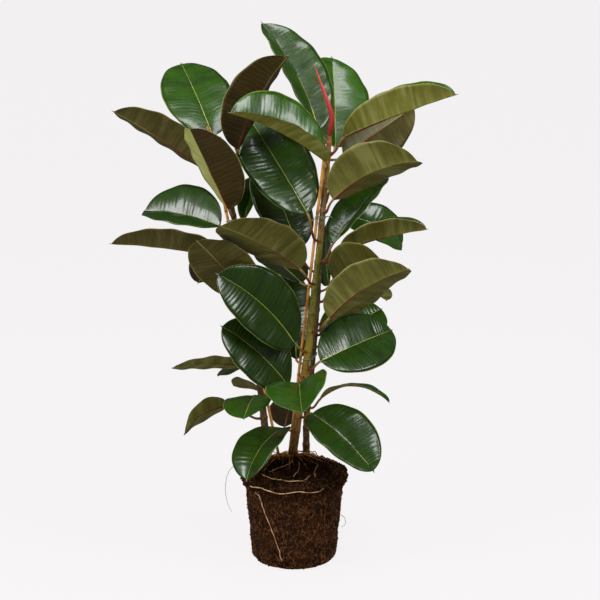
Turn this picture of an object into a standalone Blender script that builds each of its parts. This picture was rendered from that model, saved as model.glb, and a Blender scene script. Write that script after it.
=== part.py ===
"""Rubber plant lifted out of its nursery pot: root ball, three stems, leaves, two canes, ties and roots.

Metres, +Z up. The origin is the middle of the root ball's flat underside. -Y is the side the plant is shown from.
"""

import math
from typing import NamedTuple

import bmesh
import bpy
from mathutils import Quaternion, Vector

# Root ball: the shape that the nursery pot left.
BALL_HEIGHT = 0.170
BALL_TOP_RADIUS = 0.100
BALL_FOOT_RADIUS = 0.081
BALL_EDGE = 0.012
MOUND = 0.018
BALL_SIDES = 32

# Stems and canes, and how far they go into the soil.
STEM_DEPTH = 0.060
CANE_DEPTH = 0.110
CANE_RADIUS = 0.0028
STEM_SIDES = 8
STEM_STEPS = 24
STEM_TIP_SHARE = 0.55

# One piece never touches the next: meshes hold 32-bit numbers.
GAP = 0.0003

# Leaves.
LEAF_THICKNESS = 0.0009
PETIOLE_RADIUS = 0.0022
MARGIN_CURL = 22.0
TIP_LENGTH = 0.055
BLADE_STATIONS = (0.0, 0.04, 0.13, 0.28, 0.46, 0.64, 0.8, 0.91, 0.955)
PETIOLE_STEPS = 4
MIDRIB_STEPS = 24

# Ties: garden twine round stems and their cane, with two short tails.
TWINE_RADIUS = 0.0009
TWINE_PITCH = 0.0032
TIE_TURNS = 1.35
TIE_POINTS = 22
TAIL = 0.014

# Roots that lie on the outside of the root ball.
ROOT_RADIUS = 0.0012
ROOT_LIFT = 0.0012
ROOT_POINTS = 16


class Stem(NamedTuple):
    """A stem: its radius at the soil and the points (height above soil, x, y) that its middle passes."""

    name: str
    radius: float
    way: tuple


class Cane(NamedTuple):
    """A straight cane from a place on the soil to its top end, as (height above soil, x, y)."""

    name: str
    foot: tuple
    top: tuple


class Leaf(NamedTuple):
    """A leaf: where it grows, its stalk and its blade. Angles are degrees, lengths metres."""

    name: str
    stem: str
    height: float  # of the node on the stem, above the soil
    stalk: tuple  # heading, rise, length
    blade: tuple  # heading, rise, length
    width: float
    arch: float = 15.0  # the midrib's bend from base to tip, over the top
    nod: float = 0.0  # more bend, in the last third
    fold: float = 12.0  # each half above flat
    roll: float = 0.0  # lifts the half on the left of the heading
    bow: float = 0.0  # the midrib's sweep to the left at half its length, as a share of its length


STEMS = {
    "front": Stem(
        "front_stem",
        0.0085,
        (
            (0.0, -0.005, 0.030),
            (0.08, 0.005, 0.030),
            (0.15, 0.014, 0.025),
            (0.21, 0.023, 0.020),
            (0.25, 0.028, 0.020),
            (0.32, 0.035, 0.020),
            (0.40, 0.044, 0.015),
            (0.48, 0.051, 0.010),
            (0.52, 0.055, 0.010),
            (0.59, 0.061, 0.010),
            (0.635, 0.064, 0.010),
        ),
    ),
    "rear": Stem(
        "rear_stem",
        0.0068,
        (
            (0.0, 0.023, 0.070),
            (0.09, 0.024, 0.066),
            (0.17, 0.032, 0.060),
            (0.24, 0.038, 0.056),
            (0.30, 0.043, 0.050),
            (0.40, 0.048, 0.046),
            (0.48, 0.052, 0.045),
            (0.53, 0.054, 0.045),
        ),
    ),
    "left": Stem(
        "left_stem",
        0.0075,
        (
            (0.0, -0.050, 0.050),
            (0.09, -0.058, 0.051),
            (0.15, -0.065, 0.053),
            (0.24, -0.078, 0.053),
            (0.34, -0.090, 0.046),
            (0.44, -0.104, 0.036),
            (0.49, -0.113, 0.032),
            (0.56, -0.125, 0.032),
            (0.61, -0.133, 0.032),
            (0.63, -0.137, 0.032),
        ),
    ),
}

CANES = {
    "main": Cane("main_cane", (0.0, -0.0115, 0.048), (0.605, 0.0555, -0.004)),
    "left": Cane("left_cane", (0.0, -0.024, 0.014), (0.652, -0.157, 0.022)),
}

# The bud's pointed sheath, above the front stem: (height above soil, x, y, radius).
SHEATH = (
    (0.6365, 0.0640, 0.0100, 0.0040),
    (0.648, 0.0665, 0.0085, 0.0047),
    (0.665, 0.0690, 0.0065, 0.0046),
    (0.682, 0.0660, 0.0045, 0.0040),
    (0.710, 0.0560, 0.0010, 0.0032),
    (0.740, 0.0450, -0.0020, 0.0020),
)
SHEATH_TIP = (0.765, 0.0365, -0.0045)

LEAVES = (
    Leaf("front_leaf_01", "front", 0.070, (230, 24, 0.030), (238, -28, 0.152), 0.106, 60, 0, 14, 10),
    Leaf("front_leaf_02", "front", 0.100, (310, 24, 0.035), (318, -28, 0.178), 0.118, 40, 0, 21, 22),
    Leaf("front_leaf_03", "front", 0.143, (228, 40, 0.036), (204, 44, 0.190), 0.114, 15, 0, 8, -67, -0.04),
    Leaf("front_leaf_04", "front", 0.180, (260, 0, 0.041), (272, -5, 0.155), 0.130, 15, 0, 26, 16),
    Leaf("front_leaf_05", "front", 0.196, (318, 35, 0.037), (39, 10, 0.185), 0.124, 20, 0, 6, 45),
    Leaf("front_leaf_06", "front", 0.229, (227, 37, 0.034), (207, 43, 0.220), 0.124, 10, 0, 12, -78, -0.06),
    Leaf("front_leaf_07", "front", 0.268, (308, 36, 0.062), (335, 34, 0.195), 0.115, 40, 0, 18, -39),
    Leaf("front_leaf_08", "front", 0.351, (144, 10, 0.026), (125, 16, 0.150), 0.090, 15, 0, 8, 0),
    Leaf("front_leaf_09", "front", 0.360, (240, 36, 0.064), (215, 30, 0.200), 0.132, 20, 0, 12, 30),
    Leaf("front_leaf_10", "front", 0.400, (34, 49, 0.041), (46, 35, 0.190), 0.090, 10, 0, 26, -2),
    Leaf("front_leaf_11", "front", 0.442, (224, 64, 0.061), (140, 49, 0.245), 0.132, 8, 0, 5, -30),
    Leaf("front_leaf_12", "front", 0.495, (298, 41, 0.045), (325, 25, 0.205), 0.126, 50, 0, 22, -36),
    Leaf("front_leaf_13", "front", 0.576, (264, 38, 0.026), (207, 27, 0.218), 0.138, 12, 0, 44, -30, -0.06),
    Leaf("front_leaf_14", "front", 0.591, (38, 5, 0.033), (34, 27, 0.186), 0.122, 10, 0, 2, -94),
    Leaf("front_leaf_15", "front", 0.604, (338, 49, 0.041), (338, 22, 0.230), 0.104, 8, 0, 66, 2),
    Leaf("front_leaf_16", "front", 0.597, (70, 20, 0.036), (92, 51, 0.202), 0.138, 15, 0, 7, 21),
    Leaf("front_leaf_17", "front", 0.622, (145, 52, 0.028), (141, 54, 0.236), 0.120, 8, 0, 24, -6, -0.06),
    Leaf("rear_leaf_01", "rear", 0.130, (131, -21, 0.028), (107, -46, 0.130), 0.080, 40, 0, 10, 0),
    Leaf("rear_leaf_02", "rear", 0.106, (332, 45, 0.030), (341, 1, 0.155), 0.060, 92, 0, 10, -14),
    Leaf("rear_leaf_03", "rear", 0.190, (149, 15, 0.030), (102, 55, 0.205), 0.090, 15, 0, 5, 15),
    Leaf("rear_leaf_04", "rear", 0.226, (40, 10, 0.020), (38, 18, 0.155), 0.115, 15, 0, 10, 34),
    Leaf("rear_leaf_05", "rear", 0.251, (8, 46, 0.052), (326, 33, 0.120), 0.070, 15, 0, 5, -30),
    Leaf("rear_leaf_06", "rear", 0.271, (39, 28, 0.080), (52, -12, 0.150), 0.070, 80, 0, 10, 0),
    Leaf("rear_leaf_07", "rear", 0.318, (322, 56, 0.057), (310, 24, 0.145), 0.110, 20, 0, 14, -50),
    Leaf("rear_leaf_08", "rear", 0.336, (49, 19, 0.028), (91, 40, 0.155), 0.080, 15, 0, 6, -70),
    Leaf("rear_leaf_09", "rear", 0.374, (180, 54, 0.057), (124, 50, 0.195), 0.118, 10, 0, 4, -5),
    Leaf("rear_leaf_10", "rear", 0.393, (329, 33, 0.046), (345, 17, 0.175), 0.080, 15, 0, 58, -4),
    Leaf("rear_leaf_11", "rear", 0.445, (60, 24, 0.068), (28, -27, 0.172), 0.082, 75, 0, 14, 60),
    Leaf("rear_leaf_12", "rear", 0.501, (62, 35, 0.071), (18, 14, 0.158), 0.078, 20, 0, 26, -1),
    Leaf("left_leaf_01", "left", 0.089, (198, 26, 0.072), (225, -17, 0.118), 0.074, 55, 0, 10, 61),
    Leaf("left_leaf_02", "left", 0.120, (257, 29, 0.059), (263, -3, 0.130), 0.096, 15, 0, 12, 8),
    Leaf("left_leaf_03", "left", 0.127, (91, 10, 0.030), (127, -8, 0.100), 0.060, 20, 0, 10, 37),
    Leaf("left_leaf_04", "left", 0.176, (242, 43, 0.031), (203, 5, 0.160), 0.080, 20, 0, 4, 32),
    Leaf("left_leaf_05", "left", 0.188, (97, 17, 0.022), (131, -21, 0.115), 0.085, 20, 0, 12, -36),
    Leaf("left_leaf_06", "left", 0.311, (276, 28, 0.053), (223, 45, 0.181), 0.112, 12, 0, 4, 37),
    Leaf("left_leaf_07", "left", 0.383, (119, 52, 0.058), (128, -42, 0.160), 0.086, 30, 0, 5, 19),
    Leaf("left_leaf_08", "left", 0.394, (195, 21, 0.030), (194, 10, 0.218), 0.102, 12, 0, 32, 23),
    Leaf("left_leaf_09", "left", 0.440, (180, 42, 0.037), (153, 5, 0.170), 0.124, 12, 0, 25, -30, -0.05),
    Leaf("left_leaf_10", "left", 0.460, (62, 19, 0.024), (78, 32, 0.125), 0.055, 10, 0, 45, 0),
    Leaf("left_leaf_11", "left", 0.485, (261, 28, 0.040), (231, 57, 0.192), 0.120, 10, 0, 26, 4, -0.03),
    Leaf("left_leaf_12", "left", 0.560, (185, 20, 0.042), (198, 34, 0.200), 0.116, 12, 0, 19, 26),
    Leaf("left_leaf_13", "left", 0.578, (327, 49, 0.042), (324, 57, 0.212), 0.121, 30, 0, 30, -10),
    Leaf("left_leaf_14", "left", 0.606, (132, 50, 0.031), (114, 36, 0.207), 0.132, 15, 0, 7, -11),
)

# Each tie: name, the stems it holds, its cane, its height above the soil, and where its ends leave, in degrees.
TIES = (
    ("upper_tie", ("front",), "main", 0.483, 200),
    ("lower_tie", ("front", "rear"), "main", 0.212, 330),
    ("left_tie", ("left",), "left", 0.473, 240),
)

# Each root's middle line as (bearing in degrees, place): 0 is the middle of the top, 1 the rim, 2 the foot.
ROOTS = (
    ("rim_root", ((218, 1.05), (238, 1.03), (255, 1.06), (272, 1.03), (290, 1.05), (302, 1.03))),
    ("front_root", ((222, 0.80), (240, 0.84), (262, 0.86), (282, 0.84), (292, 0.74))),
    ("side_root", ((226, 1.10), (232, 1.30), (245, 1.60), (254, 1.88))),
    ("stem_root_1", ((252, 0.12), (244, 0.32), (232, 0.52), (226, 0.68))),
    ("stem_root_2", ((300, 0.15), (286, 0.36), (276, 0.56), (268, 0.74))),
    ("stem_root_3", ((352, 0.30), (338, 0.48), (318, 0.55), (305, 0.66), (300, 0.78))),
)


def direction(heading, rise):
    """The unit vector at a heading round from +X and a rise above level."""
    turn, lift = math.radians(heading), math.radians(rise)
    return Vector((math.cos(turn) * math.cos(lift), math.sin(turn) * math.cos(lift), math.sin(lift)))


def soil_height(x, y):
    """Height of the root ball's domed top at a place."""
    share = min(1.0, math.hypot(x, y) / BALL_TOP_RADIUS)
    return BALL_HEIGHT + MOUND * (1.0 - share**2)


def smooth_point(way, height):
    """The point at a height on the smooth curve through a stem's points."""
    points = [Vector((x, y, BALL_HEIGHT + above)) for above, x, y in way]
    z = BALL_HEIGHT + height
    if z <= points[0].z:
        return Vector((points[0].x, points[0].y, z))
    last = len(points) - 1
    i = max(k for k in range(last) if points[k].z <= z)
    before, after = points[max(i - 1, 0)], points[min(i + 2, last)]
    a, b = points[i], points[i + 1]
    t = (z - a.z) / (b.z - a.z)
    spot = 0.5 * (
        2 * a + (b - before) * t + (2 * before - 5 * a + 4 * b - after) * t**2 + (3 * a - before - 3 * b + after) * t**3
    )
    return Vector((spot.x, spot.y, z))


def stem_radius(stem, height):
    """A stem's radius at a height: it thins towards its tip."""
    share = min(1.0, max(0.0, height / stem.way[-1][0]))
    return stem.radius * (1.0 - (1.0 - STEM_TIP_SHARE) * share)


def cane_point(cane, height):
    """The point at a height above the soil on a cane's middle line."""
    share = (height - cane.foot[0]) / (cane.top[0] - cane.foot[0])
    x = cane.foot[1] + share * (cane.top[1] - cane.foot[1])
    y = cane.foot[2] + share * (cane.top[2] - cane.foot[2])
    return Vector((x, y, BALL_HEIGHT + height))


def half_width(share):
    """A blade's half width at a share of its length, as a share of its widest: oval, with a drip tip."""
    body = share / (1.0 - TIP_LENGTH * 0.6)
    oval = max(0.0, 4.0 * body * (1.0 - body)) ** 0.54 if body < 1.0 else 0.0
    drip = 0.9 * (1.0 - share) if share > 1.0 - 2 * TIP_LENGTH else 0.0
    return max(oval, drip)


def midrib(leaf):
    """Points, tangents and normals along a blade's midrib, in MIDRIB_STEPS even steps, with its left-hand side."""
    heading, rise, length = leaf.blade
    chord = direction(heading, rise)
    side = Vector((-math.sin(math.radians(heading)), math.cos(math.radians(heading)), 0.0))
    turn = Quaternion(chord, math.radians(leaf.roll))
    side = turn @ side
    up = chord.cross(side)
    flat = [(0.0, 0.0)]
    angles = []
    for step in range(MIDRIB_STEPS + 1):
        share = step / MIDRIB_STEPS
        late = max(0.0, share - 0.67) / 0.33
        angles.append(-math.radians(leaf.arch * share + leaf.nod * late**2))
    for a, b in zip(angles, angles[1:]):
        middle = (a + b) / 2
        x, z = flat[-1]
        flat.append((x + math.cos(middle) * length / MIDRIB_STEPS, z + math.sin(middle) * length / MIDRIB_STEPS))
    tilt = math.atan2(flat[-1][1], flat[-1][0])
    frames = []
    for step, ((x, z), angle) in enumerate(zip(flat, angles)):
        share = step / MIDRIB_STEPS
        aside = 4 * share * (1 - share) * leaf.bow * length
        along = x * math.cos(tilt) + z * math.sin(tilt)
        above = z * math.cos(tilt) - x * math.sin(tilt)
        bend = angle - tilt
        tangent = chord * math.cos(bend) + up * math.sin(bend)
        frames.append((chord * along + up * above + side * aside, tangent, tangent.cross(side)))
    return frames, side


def frame_at(frames, share):
    """The midrib's point, tangent and normal at any share of its length."""
    place = min(share, 1.0) * (len(frames) - 1)
    i = min(int(place), len(frames) - 2)
    t = place - i
    return [a.lerp(b, t) for a, b in zip(frames[i], frames[i + 1])]


def stem_node(leaf):
    """Where a leaf's stalk leaves its stem, just off the bark, and which way it goes, square to the stem."""
    stem = STEMS[leaf.stem]
    middle = smooth_point(stem.way, leaf.height)
    along = (smooth_point(stem.way, leaf.height + 0.004) - middle).normalized()
    out = direction(leaf.stalk[0], 0.0)
    out = (out - along * out.dot(along)).normalized()
    return out, middle + out * (stem_radius(stem, leaf.height) + 2 * GAP)


def stalk_line(leaf):
    """Points and tangents down a leaf's stalk: square out of the stem, then into the blade's line."""
    heading, rise, length = leaf.stalk
    out, start = stem_node(leaf)
    end = start + direction(heading, rise) * length
    frames, side = midrib(leaf)
    into = frames[0][1]
    p1 = start + out * length * 0.3
    p2 = end - into * length * 0.35
    spots = []
    for step in range(PETIOLE_STEPS + 1):
        t = step / PETIOLE_STEPS
        s = 1.0 - t
        spot = start * s**3 + p1 * 3 * s * s * t + p2 * 3 * s * t * t + end * t**3
        tangent = (p1 - start) * s * s + (p2 - p1) * 2 * s * t + (end - p2) * t * t
        spots.append((spot, tangent.normalized()))
    return spots, end, frames, side


def half_section(leaf, v):
    """Sideways and upward place of a point on one half of the blade, v from 0 at the midrib to 1 at the margin."""
    first = math.radians(leaf.fold + MARGIN_CURL / 2)
    last = math.radians(leaf.fold - MARGIN_CURL / 2)
    across = (math.sin(first) - math.sin(first + (last - first) * v)) / (first - last)
    above = (math.cos(first + (last - first) * v) - math.cos(first)) / (first - last)
    return across, above


def blade_ring(leaf, spot, side, normal, half):
    """Eight points round a blade's section: left margin, over the top, right margin, back underneath."""
    ring = []
    thick = min(LEAF_THICKNESS, half * 0.8)
    for v, level in ((1, 0), (0.5, 1), (0, 1), (-0.5, 1), (-1, 0), (-0.5, -1), (0, -1), (0.5, -1)):
        across, above = half_section(leaf, abs(v))
        lift = level * thick / 2 * (2.0 if v == 0 and level < 0 else 1.0)
        ring.append(spot + side * math.copysign(across, v or 1.0) * half + normal * (above * half + lift))
    return ring


def stalk_ring(spot, tangent, side, radius):
    """Eight points round a stalk, in the same order as a blade's section."""
    across = (side - tangent * side.dot(tangent)).normalized()
    up = tangent.cross(across)
    turns = [math.radians(45 * k) for k in range(8)]
    return [spot + across * math.cos(a) * radius + up * math.sin(a) * radius for a in turns]


def leaf_rings(leaf):
    """All the rings of a leaf from its node on the stem, and the point of its tip."""
    spots, end, frames, side = stalk_line(leaf)
    rings = [stalk_ring(spot, tangent, side, PETIOLE_RADIUS) for spot, tangent in spots]
    for share in BLADE_STATIONS[1:]:
        spot, _, normal = frame_at(frames, share)
        rings.append(blade_ring(leaf, end + spot, side, normal, half_width(share) * leaf.width / 2))
    return rings, end + frames[-1][0]


def loft(name, rings, material, tip=None):
    """One closed body through rings of equal count, capped flat at its start and at its end, or drawn to a tip."""
    mesh = bmesh.new()
    rows = [[mesh.verts.new(point) for point in ring] for ring in rings]
    count = len(rows[0])
    for near, far in zip(rows, rows[1:]):
        for k in range(count):
            mesh.faces.new((near[k], near[(k + 1) % count], far[(k + 1) % count], far[k]))
    mesh.faces.new(list(reversed(rows[0])))
    if tip is None:
        mesh.faces.new(rows[-1])
    else:
        point = mesh.verts.new(tip)
        for k in range(count):
            mesh.faces.new((rows[-1][k], rows[-1][(k + 1) % count], point))
    return finish_mesh(name, mesh, material)


def finish_mesh(name, mesh, material):
    """Turns a bmesh into a named object with its material, faces outwards and smooth-shaded."""
    bmesh.ops.recalc_face_normals(mesh, faces=mesh.faces)
    data = bpy.data.meshes.new(name)
    mesh.to_mesh(data)
    mesh.free()
    data.materials.append(material)
    data.shade_smooth()
    data.set_sharp_from_angle(angle=math.radians(45))
    made = bpy.data.objects.new(name, data)
    bpy.context.scene.collection.objects.link(made)
    return made


def material(name, colour, roughness):
    """A Principled material of one colour."""
    made = bpy.data.materials.new(name)
    made.use_nodes = True
    shader = made.node_tree.nodes["Principled BSDF"]
    shader.inputs["Base Color"].default_value = (*colour, 1.0)
    shader.inputs["Roughness"].default_value = roughness
    shader.inputs["Metallic"].default_value = 0.0
    return made


def tube(name, points, radii, sides, outside):
    """A round body along points, with its rings kept from twisting."""
    count = len(points)
    aheads = [(points[min(k + 1, count - 1)] - points[max(k - 1, 0)]).normalized() for k in range(count)]
    across = aheads[0].orthogonal().normalized()
    rings = []
    for point, ahead, radius in zip(points, aheads, radii):
        across = (across - ahead * across.dot(ahead)).normalized()
        up = ahead.cross(across)
        turns = [2 * math.pi * k / sides for k in range(sides)]
        rings.append([point + across * math.cos(a) * radius + up * math.sin(a) * radius for a in turns])
    return loft(name, rings, outside)


def stem_heights(stem):
    """The heights above the soil of a stem's rings."""
    top = stem.way[-1][0]
    return [-STEM_DEPTH + (top + STEM_DEPTH) * k / STEM_STEPS for k in range(STEM_STEPS + 1)]


def stem_tube(stem, bark):
    """A stem's tapered body."""
    heights = stem_heights(stem)
    points = [smooth_point(stem.way, height) for height in heights]
    return tube(stem.name, points, [stem_radius(stem, height) for height in heights], STEM_SIDES, bark)


def stem_pocket(stem, soil):
    """The body that cuts a stem's pocket in the soil: the stem's own rings, a little wider."""
    heights = [height for height in stem_heights(stem) if height < MOUND + 0.06]
    points = [smooth_point(stem.way, height) for height in heights]
    points[0].z -= GAP
    radii = [stem_radius(stem, height) + GAP for height in heights]
    return tube(f"{stem.name}_pocket", points, radii, STEM_SIDES, soil)


def cane_tube(name, cane, extra, lowest, highest, wood):
    """A cane's straight body, or with extra radius its pocket in the soil."""
    ends = [cane_point(cane, lowest), cane_point(cane, highest)]
    return tube(name, ends, [CANE_RADIUS + extra] * 2, STEM_SIDES, wood)


def sheath(red):
    """The red sheath round the next leaf, on top of the front stem."""
    points = [Vector((x, y, BALL_HEIGHT + height)) for height, x, y, _ in SHEATH]
    height, x, y = SHEATH_TIP
    points.append(Vector((x, y, BALL_HEIGHT + height)))
    return tube("tip_sheath", points, [row[3] for row in SHEATH] + [0.0005], STEM_SIDES, red)


def tie_line(stems, cane, height, leaves_at):
    """Twine round stems and a cane: the tightest loop round them all, rising as it goes, with a tail at each end."""
    points = []
    steps = int(TIE_POINTS * TIE_TURNS)
    for step in range(steps + 1):
        turn = math.radians(leaves_at) + 2 * math.pi * step / TIE_POINTS
        level = height + TWINE_PITCH * step / TIE_POINTS
        away = Vector((math.cos(turn), math.sin(turn), 0.0))
        held = [(smooth_point(STEMS[stem].way, level), stem_radius(STEMS[stem], level)) for stem in stems]
        held.append((cane_point(CANES[cane], level), CANE_RADIUS))
        middle, radius = max(held, key=lambda body: body[0].dot(away) + body[1])
        points.append(middle + away * (radius * 1.03 + TWINE_RADIUS + 2 * GAP))
    middle = sum(points, Vector()) / len(points)
    for end, inner in ((points[0], points[1]), (points[-1], points[-2])):
        run = (end - inner).normalized()
        outwards = Vector((end.x - middle.x, end.y - middle.y, 0.0)).normalized()
        side = -1.0 if end is points[0] else 1.0
        tail = []
        for share in (0.35, 0.7, 1.0):
            drop = Vector((0, 0, side * 0.15 * TAIL * share - 0.3 * TAIL * share**2))
            tail.append(end + (run * 0.6 + outwards * 0.8).normalized() * TAIL * share + drop)
        points = tail[::-1] + points if side < 0 else points + tail
    return points


def on_ball(bearing, place, lift):
    """A point just outside the root ball: places 0 to 1 cross the top, 1 to 2 go down the side."""
    turn = math.radians(bearing)
    if place <= 1.0:
        radius = BALL_TOP_RADIUS * place
        z = soil_height(radius, 0.0) + lift
    else:
        share = place - 1.0
        radius = BALL_TOP_RADIUS + (BALL_FOOT_RADIUS - BALL_TOP_RADIUS) * share + lift
        z = BALL_HEIGHT * (1.0 - share)
    return Vector((math.cos(turn) * radius, math.sin(turn) * radius, z))


def root_line(way):
    """Points along a root, smooth through its bearings and places."""
    rows = [Vector(row) for row in way]
    rows = [2 * rows[0] - rows[1]] + rows + [2 * rows[-1] - rows[-2]]
    points = []
    for step in range(ROOT_POINTS + 1):
        spot = step / ROOT_POINTS * (len(way) - 1)
        i = min(int(spot), len(way) - 2)
        t = spot - i
        a, b, c, d = rows[i : i + 4]
        row = 0.5 * (2 * b + (c - a) * t + (2 * a - 5 * b + 4 * c - d) * t**2 + (3 * b - a - 3 * c + d) * t**3)
        points.append(on_ball(row.x, row.y, ROOT_RADIUS + ROOT_LIFT))
    return points


def root_ball(soil):
    """The soil and roots in one turned body, with a pocket for each stem and cane."""
    foot = BALL_FOOT_RADIUS
    profile = [(foot - BALL_EDGE, 0.0), (foot - 0.2 * BALL_EDGE, 0.3 * BALL_EDGE)]
    profile += [(foot + 0.1 * BALL_EDGE, BALL_EDGE), (BALL_TOP_RADIUS, BALL_HEIGHT - BALL_EDGE / 2)]
    for share in (0.97, 0.75, 0.45):
        profile.append((BALL_TOP_RADIUS * share, soil_height(BALL_TOP_RADIUS * share, 0.0)))
    rings = []
    for radius, z in profile:
        turns = [2 * math.pi * k / BALL_SIDES for k in range(BALL_SIDES)]
        rings.append([Vector((math.cos(a) * radius, math.sin(a) * radius, z)) for a in turns])
    ball = loft("root_ball", rings, soil, tip=Vector((0, 0, soil_height(0, 0))))
    cutters = [stem_pocket(stem, soil) for stem in STEMS.values()]
    for cane in CANES.values():
        cutters.append(cane_tube(f"{cane.name}_pocket", cane, GAP, -CANE_DEPTH - GAP, MOUND + 0.02, soil))
    for cutter in cutters:
        cutter.hide_render = True
        cutter.display_type = "WIRE"
        cut = ball.modifiers.new(cutter.name, "BOOLEAN")
        cut.operation = "DIFFERENCE"
        cut.object = cutter
        cut.solver = "EXACT"
    return ball


def main():
    """Clears the scene and builds the plant."""
    for old in list(bpy.data.objects):
        bpy.data.objects.remove(old)
    soil = material("soil", (0.055, 0.030, 0.016), 0.95)
    bark = material("bark", (0.220, 0.130, 0.040), 0.60)
    cane_wood = material("cane", (0.520, 0.300, 0.090), 0.50)
    green = material("leaf", (0.025, 0.085, 0.025), 0.25)
    red = material("sheath", (0.450, 0.040, 0.035), 0.35)
    twine = material("twine", (0.250, 0.290, 0.200), 0.90)
    pale_root = material("root", (0.420, 0.230, 0.090), 0.80)
    root_ball(soil)
    for stem in STEMS.values():
        stem_tube(stem, bark)
    for cane in CANES.values():
        cane_tube(cane.name, cane, 0.0, -CANE_DEPTH, cane.top[0], cane_wood)
    for leaf in LEAVES:
        rings, tip = leaf_rings(leaf)
        loft(leaf.name, rings, green, tip)
    sheath(red)
    for name, stems, cane, height, leaves_at in TIES:
        points = tie_line(stems, cane, height, leaves_at)
        tube(name, points, [TWINE_RADIUS] * len(points), 6, twine)
    for name, way in ROOTS:
        points = root_line(way)
        tube(name, points, [ROOT_RADIUS] * len(points), 6, pale_root)


if __name__ == "__main__":
    main()
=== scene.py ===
"""The looks of a rubber plant that stands on its bare root ball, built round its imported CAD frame.

Metres, +Z up, in the frame's own coordinates. -Y is the side the plant is shown from. Stems, stalks, blades, canes,
ties and roots follow the same growth plan as the CAD solids that they replace, in much finer meshes.
"""

from __future__ import annotations

import logging
import math
from dataclasses import dataclass, field
from enum import Enum
from typing import NamedTuple

import bmesh
import bpy
import numpy as np
from bpy.types import ID, Material, Mesh, Node, NodeOutputs, NodeSocket, NodeTree, Object
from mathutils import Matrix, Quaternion, Vector, noise

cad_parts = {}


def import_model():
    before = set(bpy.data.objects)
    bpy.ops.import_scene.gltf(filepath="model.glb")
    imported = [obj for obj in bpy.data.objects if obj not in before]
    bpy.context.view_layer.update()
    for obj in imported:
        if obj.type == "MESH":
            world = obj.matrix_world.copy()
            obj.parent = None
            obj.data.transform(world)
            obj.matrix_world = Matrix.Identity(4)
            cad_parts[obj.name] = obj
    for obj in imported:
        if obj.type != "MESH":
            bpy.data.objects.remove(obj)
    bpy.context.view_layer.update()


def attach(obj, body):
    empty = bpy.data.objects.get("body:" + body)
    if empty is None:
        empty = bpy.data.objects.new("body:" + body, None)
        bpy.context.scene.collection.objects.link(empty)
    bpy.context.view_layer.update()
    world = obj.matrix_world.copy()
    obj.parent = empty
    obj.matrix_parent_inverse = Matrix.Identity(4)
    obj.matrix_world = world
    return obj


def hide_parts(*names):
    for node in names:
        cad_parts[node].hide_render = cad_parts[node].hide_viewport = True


log = logging.getLogger("rubber_plant")

BODY = "root"
SHARP_EDGE = 50.0  # degrees between two faces that aren't shaded as one surface
THIN_SIDES = 8  # round a root that is only a millimetre thick
SKIN_SHARE = 0.97  # of a solid's radius: the bumps on bark and bamboo make up the rest
GOLDEN_ANGLE = 137.5  # degrees between two roots of a stem's crown
# Where the noise is read for an offset's x, y and z. noise_vector isn't used, because it differs from run to run.
WIGGLE_SHIFTS = (Vector((0.0, 0.0, 0.0)), Vector((31.4, 7.7, 15.9)), Vector((5.3, 42.1, 23.8)))

# The growth plan's driving sizes, as the CAD solids have them.
BALL_HEIGHT = 0.170
BALL_TOP_RADIUS = 0.100
MOUND = 0.018
STEM_TIP_SHARE = 0.55
CANE_RADIUS = 0.0028
PETIOLE_RADIUS = 0.0022
MARGIN_CURL = 22.0
TIP_LENGTH = 0.055
TWINE_PITCH = 0.0032
TIE_TURNS = 1.35
TIE_POINTS = 22
TAIL = 0.014

# The root ball's side: it widens from its foot to the collar, and is rounded at its foot.
BALL_FOOT_RADIUS = 0.0795
BALL_TAPER = 0.0125
TAPER_TOP = 0.148
COLLAR_STEP = 0.0065
COLLAR_BOTTOM = 0.150
COLLAR_BLEND = 0.0016
FOOT_ROUNDING = 0.007
FOOT_ROUNDING_HEIGHT = 0.013
UNDERSIDE_RADIUS = 0.0725


class Tone(Enum):
    """How light and yellow a leaf is: partly its age, from an old leaf to a thin young one, and partly painted shade
    and painted back light, from a leaf in the shade to a thin one with light behind it; LIT is painted light on an
    underside half that faces a lamp.
    """

    # an old leaf, and painted shade on a leaf or half in the shade
    OLD_AND_SHADED = 0.0
    DARK = 0.22
    PLAIN = 0.45
    FRESH = 0.7
    # a thin young leaf, with painted back light on some
    BRIGHT = 1.0
    # painted light on an underside half that faces a lamp
    LIT = 1.32


class Stem(NamedTuple):
    """A stem: its radius at the soil and the points (height above soil, x, y) that its middle passes."""

    name: str
    radius: float
    way: tuple


class Cane(NamedTuple):
    """A straight cane from a place on the soil to its top end, as (height above soil, x, y)."""

    name: str
    foot: tuple
    top: tuple


class Leaf(NamedTuple):
    """A leaf: where it grows, its stalk and its blade. Angles are degrees, lengths metres."""

    name: str
    stem: str
    height: float  # of the node on the stem, above the soil
    stalk: tuple  # heading, rise, length
    blade: tuple  # heading, rise, length
    width: float
    arch: float = 15.0  # the midrib's bend from base to tip, over the top
    nod: float = 0.0  # more bend, in the last third
    fold: float = 12.0  # each half above flat
    roll: float = 0.0  # lifts the half on the left of the heading
    bow: float = 0.0  # the midrib's sweep to the left at half its length, as a share of its length


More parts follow.
